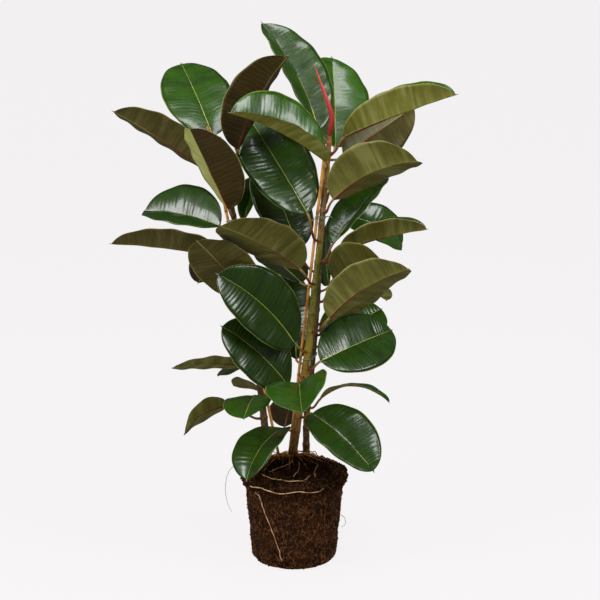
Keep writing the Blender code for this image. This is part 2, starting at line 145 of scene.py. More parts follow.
STEMS = {
    "front": Stem("front_stem", 0.0085, (
        (0.0, -0.005, 0.030), (0.08, 0.005, 0.030), (0.15, 0.014, 0.025), (0.21, 0.023, 0.020),
        (0.25, 0.028, 0.020), (0.32, 0.035, 0.020), (0.40, 0.044, 0.015), (0.48, 0.051, 0.010),
        (0.52, 0.055, 0.010), (0.59, 0.061, 0.010), (0.635, 0.064, 0.010),
    )),
    "rear": Stem("rear_stem", 0.0068, (
        (0.0, 0.023, 0.070), (0.09, 0.024, 0.066), (0.17, 0.032, 0.060), (0.24, 0.038, 0.056),
        (0.30, 0.043, 0.050), (0.40, 0.048, 0.046), (0.48, 0.052, 0.045), (0.53, 0.054, 0.045),
    )),
    "left": Stem("left_stem", 0.0075, (
        (0.0, -0.050, 0.050), (0.09, -0.058, 0.051), (0.15, -0.065, 0.053), (0.24, -0.078, 0.053),
        (0.34, -0.090, 0.046), (0.44, -0.104, 0.036), (0.49, -0.113, 0.032), (0.56, -0.125, 0.032),
        (0.61, -0.133, 0.032), (0.63, -0.137, 0.032),
    )),
}

CANES = {
    "main": Cane("main_cane", (0.0, -0.0115, 0.048), (0.605, 0.0555, -0.004)),
    "left": Cane("left_cane", (0.0, -0.024, 0.014), (0.652, -0.157, 0.022)),
}

# The bud's pointed sheath, above the front stem: (height above soil, x, y, radius).
SHEATH = (
    (0.6365, 0.0640, 0.0100, 0.0040),
    (0.648, 0.0665, 0.0085, 0.0047),
    (0.665, 0.0690, 0.0065, 0.0046),
    (0.682, 0.0660, 0.0045, 0.0040),
    (0.710, 0.0560, 0.0010, 0.0032),
    (0.740, 0.0450, -0.0020, 0.0020),
)
SHEATH_TIP = (0.765, 0.0365, -0.0045)

LEAVES = (
    Leaf("front_leaf_01", "front", 0.070, (230, 24, 0.030), (238, -28, 0.152), 0.106, 60, 0, 14, 10),
    Leaf("front_leaf_02", "front", 0.100, (310, 24, 0.035), (318, -28, 0.178), 0.118, 40, 0, 21, 22),
    Leaf("front_leaf_03", "front", 0.143, (228, 40, 0.036), (204, 44, 0.190), 0.114, 15, 0, 8, -67, -0.04),
    Leaf("front_leaf_04", "front", 0.180, (260, 0, 0.041), (272, -5, 0.155), 0.130, 15, 0, 26, 16),
    Leaf("front_leaf_05", "front", 0.196, (318, 35, 0.037), (39, 10, 0.185), 0.124, 20, 0, 6, 45),
    Leaf("front_leaf_06", "front", 0.229, (227, 37, 0.034), (207, 43, 0.220), 0.124, 10, 0, 12, -78, -0.06),
    Leaf("front_leaf_07", "front", 0.268, (308, 36, 0.062), (335, 34, 0.195), 0.115, 40, 0, 18, -39),
    Leaf("front_leaf_08", "front", 0.351, (144, 10, 0.026), (125, 16, 0.150), 0.090, 15, 0, 8, 0),
    Leaf("front_leaf_09", "front", 0.360, (240, 36, 0.064), (215, 30, 0.200), 0.132, 20, 0, 12, 30),
    Leaf("front_leaf_10", "front", 0.400, (34, 49, 0.041), (46, 35, 0.190), 0.090, 10, 0, 26, -2),
    Leaf("front_leaf_11", "front", 0.442, (224, 64, 0.061), (140, 49, 0.245), 0.132, 8, 0, 5, -30),
    Leaf("front_leaf_12", "front", 0.495, (298, 41, 0.045), (325, 25, 0.205), 0.126, 50, 0, 22, -36),
    Leaf("front_leaf_13", "front", 0.576, (264, 38, 0.026), (207, 27, 0.218), 0.138, 12, 0, 44, -30, -0.06),
    Leaf("front_leaf_14", "front", 0.591, (38, 5, 0.033), (34, 27, 0.186), 0.122, 10, 0, 2, -94),
    Leaf("front_leaf_15", "front", 0.604, (338, 49, 0.041), (338, 22, 0.230), 0.104, 8, 0, 66, 2),
    Leaf("front_leaf_16", "front", 0.597, (70, 20, 0.036), (92, 51, 0.202), 0.138, 15, 0, 7, 21),
    Leaf("front_leaf_17", "front", 0.622, (145, 52, 0.028), (141, 54, 0.236), 0.120, 8, 0, 24, -6, -0.06),
    Leaf("rear_leaf_01", "rear", 0.130, (131, -21, 0.028), (107, -46, 0.130), 0.080, 40, 0, 10, 0),
    Leaf("rear_leaf_02", "rear", 0.106, (332, 45, 0.030), (341, 1, 0.155), 0.060, 92, 0, 10, -14),
    Leaf("rear_leaf_03", "rear", 0.190, (149, 15, 0.030), (102, 55, 0.205), 0.090, 15, 0, 5, 15),
    Leaf("rear_leaf_04", "rear", 0.226, (40, 10, 0.020), (38, 18, 0.155), 0.115, 15, 0, 10, 34),
    Leaf("rear_leaf_05", "rear", 0.251, (8, 46, 0.052), (326, 33, 0.120), 0.070, 15, 0, 5, -30),
    Leaf("rear_leaf_06", "rear", 0.271, (39, 28, 0.080), (52, -12, 0.150), 0.070, 80, 0, 10, 0),
    Leaf("rear_leaf_07", "rear", 0.318, (322, 56, 0.057), (310, 24, 0.145), 0.110, 20, 0, 14, -50),
    Leaf("rear_leaf_08", "rear", 0.336, (49, 19, 0.028), (91, 40, 0.155), 0.080, 15, 0, 6, -70),
    Leaf("rear_leaf_09", "rear", 0.374, (180, 54, 0.057), (124, 50, 0.195), 0.118, 10, 0, 4, -5),
    Leaf("rear_leaf_10", "rear", 0.393, (329, 33, 0.046), (345, 17, 0.175), 0.080, 15, 0, 58, -4),
    Leaf("rear_leaf_11", "rear", 0.445, (60, 24, 0.068), (28, -27, 0.172), 0.082, 75, 0, 14, 60),
    Leaf("rear_leaf_12", "rear", 0.501, (62, 35, 0.071), (18, 14, 0.158), 0.078, 20, 0, 26, -1),
    Leaf("left_leaf_01", "left", 0.089, (198, 26, 0.072), (225, -17, 0.118), 0.074, 55, 0, 10, 61),
    Leaf("left_leaf_02", "left", 0.120, (257, 29, 0.059), (263, -3, 0.130), 0.096, 15, 0, 12, 8),
    Leaf("left_leaf_03", "left", 0.127, (91, 10, 0.030), (127, -8, 0.100), 0.060, 20, 0, 10, 37),
    Leaf("left_leaf_04", "left", 0.176, (242, 43, 0.031), (203, 5, 0.160), 0.080, 20, 0, 4, 32),
    Leaf("left_leaf_05", "left", 0.188, (97, 17, 0.022), (131, -21, 0.115), 0.085, 20, 0, 12, -36),
    Leaf("left_leaf_06", "left", 0.311, (276, 28, 0.053), (223, 45, 0.181), 0.112, 12, 0, 4, 37),
    Leaf("left_leaf_07", "left", 0.383, (119, 52, 0.058), (128, -42, 0.160), 0.086, 30, 0, 5, 19),
    Leaf("left_leaf_08", "left", 0.394, (195, 21, 0.030), (194, 10, 0.218), 0.102, 12, 0, 32, 23),
    Leaf("left_leaf_09", "left", 0.440, (180, 42, 0.037), (153, 5, 0.170), 0.124, 12, 0, 25, -30, -0.05),
    Leaf("left_leaf_10", "left", 0.460, (62, 19, 0.024), (78, 32, 0.125), 0.055, 10, 0, 45, 0),
    Leaf("left_leaf_11", "left", 0.485, (261, 28, 0.040), (231, 57, 0.192), 0.120, 10, 0, 26, 4, -0.03),
    Leaf("left_leaf_12", "left", 0.560, (185, 20, 0.042), (198, 34, 0.200), 0.116, 12, 0, 19, 26),
    Leaf("left_leaf_13", "left", 0.578, (327, 49, 0.042), (324, 57, 0.212), 0.121, 30, 0, 30, -10),
    Leaf("left_leaf_14", "left", 0.606, (132, 50, 0.031), (114, 36, 0.207), 0.132, 15, 0, 7, -11),
)

# Each tie: name, the stems it holds, its cane, its height above the soil, and where its ends leave, in degrees.
TIES = (
    ("upper_tie", ("front",), "main", 0.483, 200),
    ("lower_tie", ("front", "rear"), "main", 0.212, 330),
    ("left_tie", ("left",), "left", 0.473, 240),
)

# Each root's middle line as (bearing in degrees, place): 0 is the middle of the top, 1 the rim, 2 the foot.
ROOTS = (
    ("rim_root", ((218, 1.05), (238, 1.03), (255, 1.06), (272, 1.03), (290, 1.05), (302, 1.03))),
    ("front_root", ((222, 0.80), (240, 0.84), (262, 0.86), (282, 0.84), (292, 0.74))),
    ("side_root", ((226, 1.10), (232, 1.30), (245, 1.60), (254, 1.88))),
    ("stem_root_1", ((252, 0.12), (244, 0.32), (232, 0.52), (226, 0.68))),
    ("stem_root_2", ((300, 0.15), (286, 0.36), (276, 0.56), (268, 0.74))),
    ("stem_root_3", ((352, 0.30), (338, 0.48), (318, 0.55), (305, 0.66), (300, 0.78))),
)

# Leaves that aren't of the plain tone. A tone is partly the leaf's age and partly painted shade and painted back light
# on it.
TONES = {
    Tone.OLD_AND_SHADED: ("left_leaf_07", "rear_leaf_01", "front_leaf_08", "left_leaf_05", "left_leaf_13", "left_leaf_11"),
    Tone.DARK: ("left_leaf_06", "left_leaf_08", "left_leaf_12", "front_leaf_14", "rear_leaf_09",
                "front_leaf_06", "front_leaf_03", "rear_leaf_03"),
    Tone.FRESH: ("front_leaf_07", "front_leaf_12", "left_leaf_01", "left_leaf_04", "left_leaf_14",
                 "left_leaf_02", "front_leaf_04", "rear_leaf_02", "rear_leaf_04", "rear_leaf_11"),
    Tone.BRIGHT: ("front_leaf_15", "front_leaf_16", "rear_leaf_06", "rear_leaf_12", "front_leaf_13"),
}

# Leaves with one half in better light than the other, painted as a tone of its own on that half: painted shade on the
# half on the left of the heading, painted light on the half on the right.
SHADE_PAINTED_LEFT_HALVES = {"front_leaf_07": Tone.PLAIN, "front_leaf_12": Tone.PLAIN}
LIGHT_PAINTED_RIGHT_HALVES = {"left_leaf_11": Tone.LIT}


def direction(heading: float, rise: float) -> Vector:
    """The unit vector at a heading round from +X and a rise above level, both in degrees."""
    turn, lift = math.radians(heading), math.radians(rise)
    return Vector((math.cos(turn) * math.cos(lift), math.sin(turn) * math.cos(lift), math.sin(lift)))


def soil_height(x: float, y: float) -> float:
    """Height of the root ball's domed top at a place."""
    share = min(1.0, math.hypot(x, y) / BALL_TOP_RADIUS)
    return BALL_HEIGHT + MOUND * (1.0 - share**2)


def on_spline(a: Vector, b: Vector, c: Vector, d: Vector, t: float) -> Vector:
    """The point a share t of the way from b to c, on the smooth curve through four points in a row."""
    bend = 2 * b + (c - a) * t + (2 * a - 5 * b + 4 * c - d) * t**2
    return 0.5 * (bend + (3 * b - a - 3 * c + d) * t**3)


def smooth_point(way: tuple, height: float) -> Vector:
    """The point at a height above the soil on the smooth curve through a stem's points."""
    points = [Vector((x, y, BALL_HEIGHT + above)) for above, x, y in way]
    z = BALL_HEIGHT + height
    if z <= points[0].z:
        return Vector((points[0].x, points[0].y, z))
    last = len(points) - 1
    i = max(k for k in range(last) if points[k].z <= z)
    a, b = points[i], points[i + 1]
    spot = on_spline(points[max(i - 1, 0)], a, b, points[min(i + 2, last)], (z - a.z) / (b.z - a.z))
    return Vector((spot.x, spot.y, z))


def stem_radius(stem: Stem, height: float) -> float:
    """A stem's radius at a height: it thins towards its tip."""
    share = min(1.0, max(0.0, height / stem.way[-1][0]))
    return stem.radius * (1.0 - (1.0 - STEM_TIP_SHARE) * share)


def cane_point(cane: Cane, height: float) -> Vector:
    """The point at a height above the soil on a cane's middle line."""
    share = (height - cane.foot[0]) / (cane.top[0] - cane.foot[0])
    x = cane.foot[1] + share * (cane.top[1] - cane.foot[1])
    y = cane.foot[2] + share * (cane.top[2] - cane.foot[2])
    return Vector((x, y, BALL_HEIGHT + height))


def through(rows: list[Vector], steps: int) -> list[Vector]:
    """Points on a smooth curve through rows, steps apart, from the first to the last.

    Args:
        rows: the points, or other triples, that the curve passes.
        steps: how many equal steps the whole curve has.

    Returns:
        steps + 1 points.
    """
    ends = [2 * rows[0] - rows[1], *rows, 2 * rows[-1] - rows[-2]]
    points = []
    for step in range(steps + 1):
        spot = step / steps * (len(rows) - 1)
        i = min(int(spot), len(rows) - 2)
        points.append(on_spline(*ends[i : i + 4], spot - i))
    return points


def noise_sheet(rows: np.ndarray, columns: np.ndarray, seed: float) -> np.ndarray:
    """Smooth noise for each row and column, a step of 1 between lumps."""
    return np.array([[noise.noise(Vector((row, column, seed))) for column in columns] for row in rows])


def wiggle(point: Vector, size: float, depth: float) -> Vector:
    """A smooth offset that is always the same at a point: bumps of a size, depth high."""
    spot = point / size
    return Vector([noise.noise(spot + shift) for shift in WIGGLE_SHIFTS]) * depth


# --- Node trees and meshes -------------------------------------------------------------------------------------------


def linear(code: str) -> tuple[float, float, float, float]:
    """A colour socket's value from an sRGB hex code such as #2f5a2c."""
    shares = [int(code[k : k + 2], 16) / 255 for k in (1, 3, 5)]
    return (*(c / 12.92 if c <= 0.04045 else ((c + 0.055) / 1.055) ** 2.4 for c in shares), 1.0)


def add(tree: NodeTree, kind: str, inputs: dict | None = None, ramp: tuple = (), **settings: object) -> Node:
    """Adds a node with its settings and its links.

    Args:
        tree: the tree that gets the node.
        kind: the node's type, such as ShaderNodeMath.
        inputs: each input's value, or the socket that feeds it, by the input's name or number.
        ramp: a colour ramp's stops, as (place, hex colour).
        settings: the node's other properties.

    Returns:
        The new node.
    """
    made = tree.nodes.new(kind)
    for name, value in settings.items():
        setattr(made, name, value)
    for k, (place, code) in enumerate(ramp):
        stop = made.color_ramp.elements[k] if k < 2 else made.color_ramp.elements.new(place)
        stop.position = place
        stop.color = linear(code)
    for key, value in (inputs or {}).items():
        if isinstance(value, NodeSocket):
            tree.links.new(value, made.inputs[key])
        else:
            made.inputs[key].default_value = value
    return made


def sum_of(tree: NodeTree, operation: str, *values: object, clamp: bool = False) -> NodeSocket:
    """The result of one sum on sockets or numbers, such as sum_of(tree, "MULTIPLY", a, 2.0)."""
    return add(tree, "ShaderNodeMath", dict(enumerate(values)), operation=operation, use_clamp=clamp).outputs[0]


def blend_of(tree: NodeTree, share: object, low: object, high: object) -> NodeSocket:
    """Two colours, as hex codes or sockets, mixed by a share."""
    low, high = (linear(value) if isinstance(value, str) else value for value in (low, high))
    return add(tree, "ShaderNodeMix", {0: share, 6: low, 7: high}, data_type="RGBA").outputs[2]


def band_of(tree: NodeTree, value: object, full: object, none: object) -> NodeSocket:
    """1 where a value is at full, 0 where it is at none, smooth between."""
    limits = {0: value, 1: full, 2: none, 3: 1.0, 4: 0.0}
    return add(tree, "ShaderNodeMapRange", limits, interpolation_type="SMOOTHSTEP").outputs[0]


def random_of(tree: NodeTree, low: object, high: object, seed: object) -> NodeSocket:
    """A random number, or a random triple, between two, new at each point."""
    first, kind = (0, "FLOAT_VECTOR") if isinstance(low, tuple) else (2, "FLOAT")
    made = add(tree, "FunctionNodeRandomValue", {first: low, first + 1: high, 8: seed}, data_type=kind)
    return made.outputs[first // 2]


class Finish:
    """A procedural material: its tree, its Principled shader and the places that its patterns read."""

    def __init__(self, name: str, roughness: float, **constants: object) -> None:
        """Makes the material.

        Args:
            name: what the real material is.
            roughness: the shader's roughness where no pattern feeds it.
            constants: other values set on the shader, with underscores for the blanks in their sockets' names.
        """
        self.material = bpy.data.materials.new(name)
        self.material.use_nodes = True
        self.tree = self.material.node_tree
        self.shader = self.tree.nodes["Principled BSDF"]
        self.shader.inputs["Roughness"].default_value = roughness
        for socket, value in constants.items():
            self.shader.inputs[socket.replace("_", " ")].default_value = value
        self.place = add(self.tree, "ShaderNodeTexCoord").outputs["Object"]

    def grain(self, size: float, detail: float = 3.0, stretch: tuple = (1.0, 1.0, 1.0)) -> NodeSocket:
        """Smooth noise with lumps of a size in metres, longer along an axis with a small stretch value."""
        place = add(self.tree, "ShaderNodeVectorMath", {0: self.place, 1: stretch}, operation="MULTIPLY").outputs[0]
        lumps = {"Vector": place, "Scale": 1 / size, "Detail": detail}
        return add(self.tree, "ShaderNodeTexNoise", lumps).outputs[0]

    def read(self, name: str, part: str = "Fac") -> NodeSocket:
        """A value that the mesh carries."""
        return add(self.tree, "ShaderNodeAttribute", attribute_name=name).outputs[part]

    def lay(self, under: object, share: object, strength: object, over: str) -> NodeSocket:
        """A colour laid over another one: most where a share is high, and never above a strength."""
        return blend_of(self.tree, sum_of(self.tree, "MULTIPLY", share, strength), under, over)

    def paint(self, colour: NodeSocket) -> None:
        """Links the base colour."""
        self.tree.links.new(colour, self.shader.inputs["Base Color"])

    def gloss(self, roughness: NodeSocket) -> None:
        """Links the roughness."""
        self.tree.links.new(roughness, self.shader.inputs["Roughness"])

    def relief(self, height: NodeSocket, depth: float) -> None:
        """Links a bump whose full height is depth metres."""
        made = add(self.tree, "ShaderNodeBump", {"Height": height, "Strength": 1.0, "Distance": depth})
        self.tree.links.new(made.outputs[0], self.shader.inputs["Normal"])


def new_object(name: str, data: ID) -> Object:
    """A new object in the scene, at the origin."""
    made = bpy.data.objects.new(name, data)
    bpy.context.scene.collection.objects.link(made)
    return made


def place_piece(name: str, data: Mesh, slot: str, *nodes: str) -> Object:
    """Puts a finished mesh into the scene as a piece of the plant.

    Args:
        name: the piece's name.
        data: its mesh, with its place in it and its materials on it.
        slot: the record's material slot that its finish belongs to. Not used.
        nodes: the CAD nodes that it stands for.

    Returns:
        The new object.
    """
    piece = new_object(name, data)
    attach(piece, BODY)
    if nodes:
        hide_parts(*nodes)
    log.info("%s: %d faces", name, len(data.polygons))
    return piece


def mesh_of(name: str, points: np.ndarray, faces: list, materials: list) -> Mesh:
    """A mesh from points and faces, smooth-shaded, with its materials."""
    data = bpy.data.meshes.new(name)
    data.from_pydata(points.tolist(), [], faces)
    for made in materials:
        data.materials.append(made)
    data.polygons.foreach_set("use_smooth", [True] * len(data.polygons))
    data.update()
    return data


def carry(data: Mesh, name: str, values: np.ndarray) -> None:
    """Stores a number, or a triple, on each point of a mesh for its material to read."""
    kind, part = ("FLOAT", "value") if values.ndim == 1 else ("FLOAT_VECTOR", "vector")
    data.attributes.new(name, kind, "POINT").data.foreach_set(part, values.astype(np.float32).ravel())


def ring_faces(rings: int, sides: int) -> list[tuple]:
    """The quads between rings of points, facing out where the rings run counter-clockwise seen from their end."""
    faces = []
    for ring in range(rings - 1):
        a, b = ring * sides, (ring + 1) * sides
        faces += [(a + k, a + (k + 1) % sides, b + (k + 1) % sides, b + k) for k in range(sides)]
    return faces


def circle(across: Vector, up: Vector, sides: int) -> np.ndarray:
    """Evenly spaced points on the unit circle, from across towards up."""
    turns = np.arange(sides) / sides * 2 * math.pi
    return np.cos(turns)[:, None] * np.array(across) + np.sin(turns)[:, None] * np.array(up)


def tube_mesh(name: str, line: list[Vector], radii: np.ndarray, made: Material, axis: Vector | None = None) -> Mesh:
    """A round closed body along a line.

    Args:
        name: the mesh's name.
        line: the middle of each ring.
        radii: each point's distance from the line, one row for each ring and one column for each side.
        made: its material.
        axis: what every ring faces. Without it, each ring is square to the line.

    Returns:
        The mesh, which carries each point's share of the length as "along".
    """
    rings, sides = radii.shape
    aheads = [axis or (line[min(k + 1, rings - 1)] - line[max(k - 1, 0)]).normalized() for k in range(rings)]
    across = aheads[0].orthogonal().normalized()
    points = []
    for spot, ahead, row in zip(line, aheads, radii):
        across = (across - ahead * across.dot(ahead)).normalized()
        points.append(np.array(spot) + circle(across, ahead.cross(across), sides) * row[:, None])
    faces = ring_faces(rings, sides)
    faces.append(tuple(reversed(range(sides))))
    faces.append(tuple((rings - 1) * sides + k for k in range(sides)))
    data = mesh_of(name, np.concatenate(points), faces, [made])
    data.set_sharp_from_angle(angle=math.radians(SHARP_EDGE))
    carry(data, "along", np.repeat(np.linspace(0, 1, rings), sides))
    return data


def bundle(name: str, tubes: list[tuple[list[Vector], np.ndarray]], made: Material) -> Mesh:
    """Thin tubes in one mesh. Each is its middle line and the radius at each point of that."""
    joined = bmesh.new()
    for line, radii in tubes:
        part = tube_mesh(name, line, radii[:, None] * np.ones((1, THIN_SIDES)), made)
        joined.from_mesh(part)
        bpy.data.meshes.remove(part)
    data = bpy.data.meshes.new(name)
    joined.to_mesh(data)
    joined.free()
    data.materials.append(made)
    return data


class GrowthTree:
    """A Geometry Nodes tree that is run once on a scratch object, and its result kept as a plain mesh."""

    def __init__(self, name: str, sizes: dict[str, float | int]) -> None:
        """Starts the tree.

        Args:
            name: the tree's name.
            sizes: its named inputs and the value that each gets: a whole number makes an integer input.
        """
        self.tree = bpy.data.node_groups.new(name, "GeometryNodeTree")
        self.sizes = sizes
        face = self.tree.interface
        face.new_socket("Geometry", in_out="INPUT", socket_type="NodeSocketGeometry")
        for label, value in sizes.items():
            kind = "NodeSocketInt" if isinstance(value, int) else "NodeSocketFloat"
            face.new_socket(label, in_out="INPUT", socket_type=kind)
        face.new_socket("Geometry", in_out="OUTPUT", socket_type="NodeSocketGeometry")
        self.given = add(self.tree, "NodeGroupInput").outputs

    def add(self, kind: str, inputs: dict | None = None, **settings) -> Node:
        """Adds a geometry node to this tree."""
        return add(self.tree, f"GeometryNode{kind}", inputs, **settings)

    def finish(self, geometry: NodeSocket, made: Material) -> None:
        """Ends the tree: real geometry, with its material."""
        real = self.add("RealizeInstances", {0: geometry}).outputs[0]
        dressed = self.add("SetMaterial", {"Geometry": real, "Material": made}).outputs[0]
        add(self.tree, "NodeGroupOutput", {0: dressed})

    def scatter(self, density: object, seed: object) -> NodeOutputs:
        """Random points on the geometry that the tree is given, each turned to face out of it."""
        spread = {"Mesh": self.given["Geometry"], "Density": density, "Seed": seed}
        return self.add("DistributePointsOnFaces", spread).outputs

    def instances(self, points: object, shape: object, rotation: object, scale: object) -> NodeSocket:
        """One copy of a shape on each point."""
        placed = {"Points": points, "Instance": shape, "Rotation": rotation, "Scale": scale}
        return self.add("InstanceOnPoints", placed).outputs[0]

    def shake(self, geometry: NodeSocket, scale: float, depth: float) -> NodeSocket:
        """Moves each point by smooth noise: scale sets how close its lumps are, depth metres how far they push."""
        place = self.add("InputPosition").outputs[0]
        swirl = add(self.tree, "ShaderNodeTexNoise", {"Vector": place, "Scale": scale}).outputs["Color"]
        push = add(self.tree, "ShaderNodeVectorMath", {0: swirl, 1: (0.5, 0.5, 0.5)}, operation="SUBTRACT").outputs[0]
        push = add(self.tree, "ShaderNodeVectorMath", {0: push, "Scale": depth}, operation="SCALE").outputs[0]
        return self.add("SetPosition", {"Geometry": geometry, "Offset": push}).outputs[0]

    def run(self, base: Object, name: str) -> Mesh:
        """Grows the tree on an object.

        Args:
            base: the object that the tree starts from. It stays as it was.
            name: the result's name.

        Returns:
            The result as a plain mesh.
        """
        modifier = base.modifiers.new(self.tree.name, "NODES")
        modifier.node_group = self.tree
        for item in self.tree.interface.items_tree:
            if item.in_out == "INPUT" and item.name in self.sizes:
                modifier[item.identifier] = self.sizes[item.name]
        graph = bpy.context.evaluated_depsgraph_get()
        data = bpy.data.meshes.new_from_object(base.evaluated_get(graph), depsgraph=graph)
        data.name = name
        base.modifiers.remove(modifier)
        return data


# --- Foliage ---------------------------------------------------------------------------------------------------------


@dataclass(frozen=True)
class LeafSkins:
    """The three surfaces of a rubber plant's leaf: waxy upper skin, matt underside and fleshy stalk.

    The blade carries "blade" (along the midrib, across it, share of the half width) in metres, "tone", from 0 for an
    old dark leaf to 1 for a young one, also painted shade when low and painted back light when high, and above 1
    painted light on its underside, and "leaf", its number.
    """

    vein_pitch: float = 0.0086
    midrib_width: float = 0.0019

    def blade_places(self, finish: Finish) -> tuple:
        """The blade's own coordinates: along, across, share of the half width, and how strongly a side vein shows."""
        split = add(finish.tree, "ShaderNodeSeparateXYZ", {0: finish.read("blade", "Vector")})
        along, across, edge = split.outputs
        uneven = sum_of(finish.tree, "MULTIPLY", finish.grain(0.03, 2.0), 2.4)
        turns = sum_of(finish.tree, "ADD", sum_of(finish.tree, "DIVIDE", along, self.vein_pitch), uneven)
        vein = sum_of(finish.tree, "PINGPONG", turns, 0.5)
        return along, sum_of(finish.tree, "ABSOLUTE", across), edge, vein

    def streaks(self, finish: Finish, along: object, across: object) -> NodeSocket:
        """Soft bands of uneven width that run with the side veins, and differ from leaf to leaf."""
        tree = finish.tree
        leaf = sum_of(tree, "MULTIPLY", finish.read("leaf"), 3.7)
        along, across = sum_of(tree, "MULTIPLY", along, 85.0), sum_of(tree, "MULTIPLY", across, 9.0)
        place = add(tree, "ShaderNodeCombineXYZ", {0: along, 1: across, 2: leaf}).outputs[0]
        return add(tree, "ShaderNodeTexNoise", {"Vector": place, "Scale": 1.0, "Detail": 3.0}).outputs[0]

    def rib_band(self, finish: Finish, along: object, across: object, width: float) -> NodeSocket:
        """1 on the midrib, which is width metres wide at the base and a quarter of that at the tip."""
        half = sum_of(finish.tree, "MULTIPLY_ADD", along, -width * 1.7, width / 2)
        inner = sum_of(finish.tree, "MULTIPLY", half, 0.55)
        return band_of(finish.tree, across, inner, half)

    def upper(self) -> Material:
        """Waxy cuticle over dark green: sharp soft-box reflections broken by the side veins' ripples."""
        finish = Finish("waxy leaf cuticle", 0.3, Coat_Weight=0.3, Coat_Roughness=0.11, IOR=1.42)
        tree = finish.tree
        along, across, edge, vein = self.blade_places(finish)
        tone = finish.read("tone")
        # Blended by tone: a low tone paints the old green and also painted shade, a high one the young green and also
        # painted back light.
        old = blend_of(tree, finish.grain(0.022), "#101d02", "#1c2c05")
        young = blend_of(tree, finish.grain(0.022), "#1d3d02", "#305908")
        flesh = blend_of(tree, tone, old, young)
        band = self.streaks(finish, along, across)
        flesh = finish.lay(flesh, band_of(tree, band, 0.34, 0.5), 0.4, "#0e1d05")
        flesh = finish.lay(flesh, band_of(tree, vein, 0.0, 0.14), 0.06, "#56752e")
        flesh = blend_of(tree, self.rib_band(finish, along, across, self.midrib_width), flesh, "#a3a552")
        flesh = blend_of(tree, band_of(tree, edge, 0.992, 0.962), flesh, "#8f9c57")
        finish.paint(flesh)
        finish.gloss(sum_of(tree, "MULTIPLY_ADD", finish.grain(0.012), 0.22, 0.2))
        fine = sum_of(tree, "MULTIPLY_ADD", finish.grain(0.0016, 2.0), 0.05, sum_of(tree, "MULTIPLY", vein, 0.35))
        finish.relief(sum_of(tree, "MULTIPLY_ADD", band, 1.6, fine), 0.0005)
        return finish.material

    def under(self) -> Material:
        """Matt underside: olive brown, faint paler side veins, a dark red midrib that fades to olive."""
        finish = Finish("matt leaf underside", 0.52, IOR=1.36)
        tree = finish.tree
        along, across, edge, vein = self.blade_places(finish)
        tone = finish.read("tone")
        # Blended by tone: a low tone paints the old olive brown and also painted shade, a high one the young olive and
        # also painted back light.
        old = blend_of(tree, finish.grain(0.03), "#291d06", "#40320e")
        young = blend_of(tree, finish.grain(0.03), "#5d5e17", "#797832")
        flesh = blend_of(tree, tone, old, young)
        band = self.streaks(finish, along, across)
        flesh = finish.lay(flesh, band_of(tree, band, 0.34, 0.5), 0.3, "#2a230a")
        flesh = finish.lay(flesh, band_of(tree, band, 0.66, 0.5), sum_of(tree, "MULTIPLY", tone, 0.26), "#a8a870")
        # Painted light: a tone above 1 (Tone.LIT) lays a pale yellow-green over the underside, as on a half that faces
        # a lamp.
        flesh = blend_of(tree, sum_of(tree, "SUBTRACT", tone, 1.0, clamp=True), flesh, "#c2cc7c")
        flesh = finish.lay(flesh, band_of(tree, vein, 0.0, 0.2), 0.05, "#9a9560")
        rib = blend_of(tree, band_of(tree, along, 0.06, 0.16), "#8d8347", "#641512")
        flesh = blend_of(tree, self.rib_band(finish, along, across, self.midrib_width * 1.7), flesh, rib)
        flesh = blend_of(tree, band_of(tree, edge, 0.99, 0.965), flesh, "#8c8a4a")
        finish.paint(flesh)
        finish.gloss(sum_of(tree, "MULTIPLY_ADD", finish.grain(0.008), 0.2, 0.36))
        finish.relief(sum_of(tree, "ADD", vein, sum_of(tree, "MULTIPLY", finish.grain(0.0012), 0.3)), 0.00008)
        return finish.material

    def stalk(self) -> Material:
        """Smooth fleshy stalk: dark red-brown at the stem, tan towards the blade."""
        finish = Finish("fleshy leaf stalk", 0.38, IOR=1.45)
        tree = finish.tree
        along = add(tree, "ShaderNodeSeparateXYZ", {0: finish.read("blade", "Vector")}).outputs[0]
        red = blend_of(tree, finish.grain(0.006), "#4a1a10", "#6e3018")
        tan = blend_of(tree, finish.grain(0.006), "#7b5a2c", "#94763e")
        finish.paint(blend_of(tree, band_of(tree, along, 0.0, -0.035), red, tan))
        finish.relief(finish.grain(0.0014), 0.0002)
        return finish.material


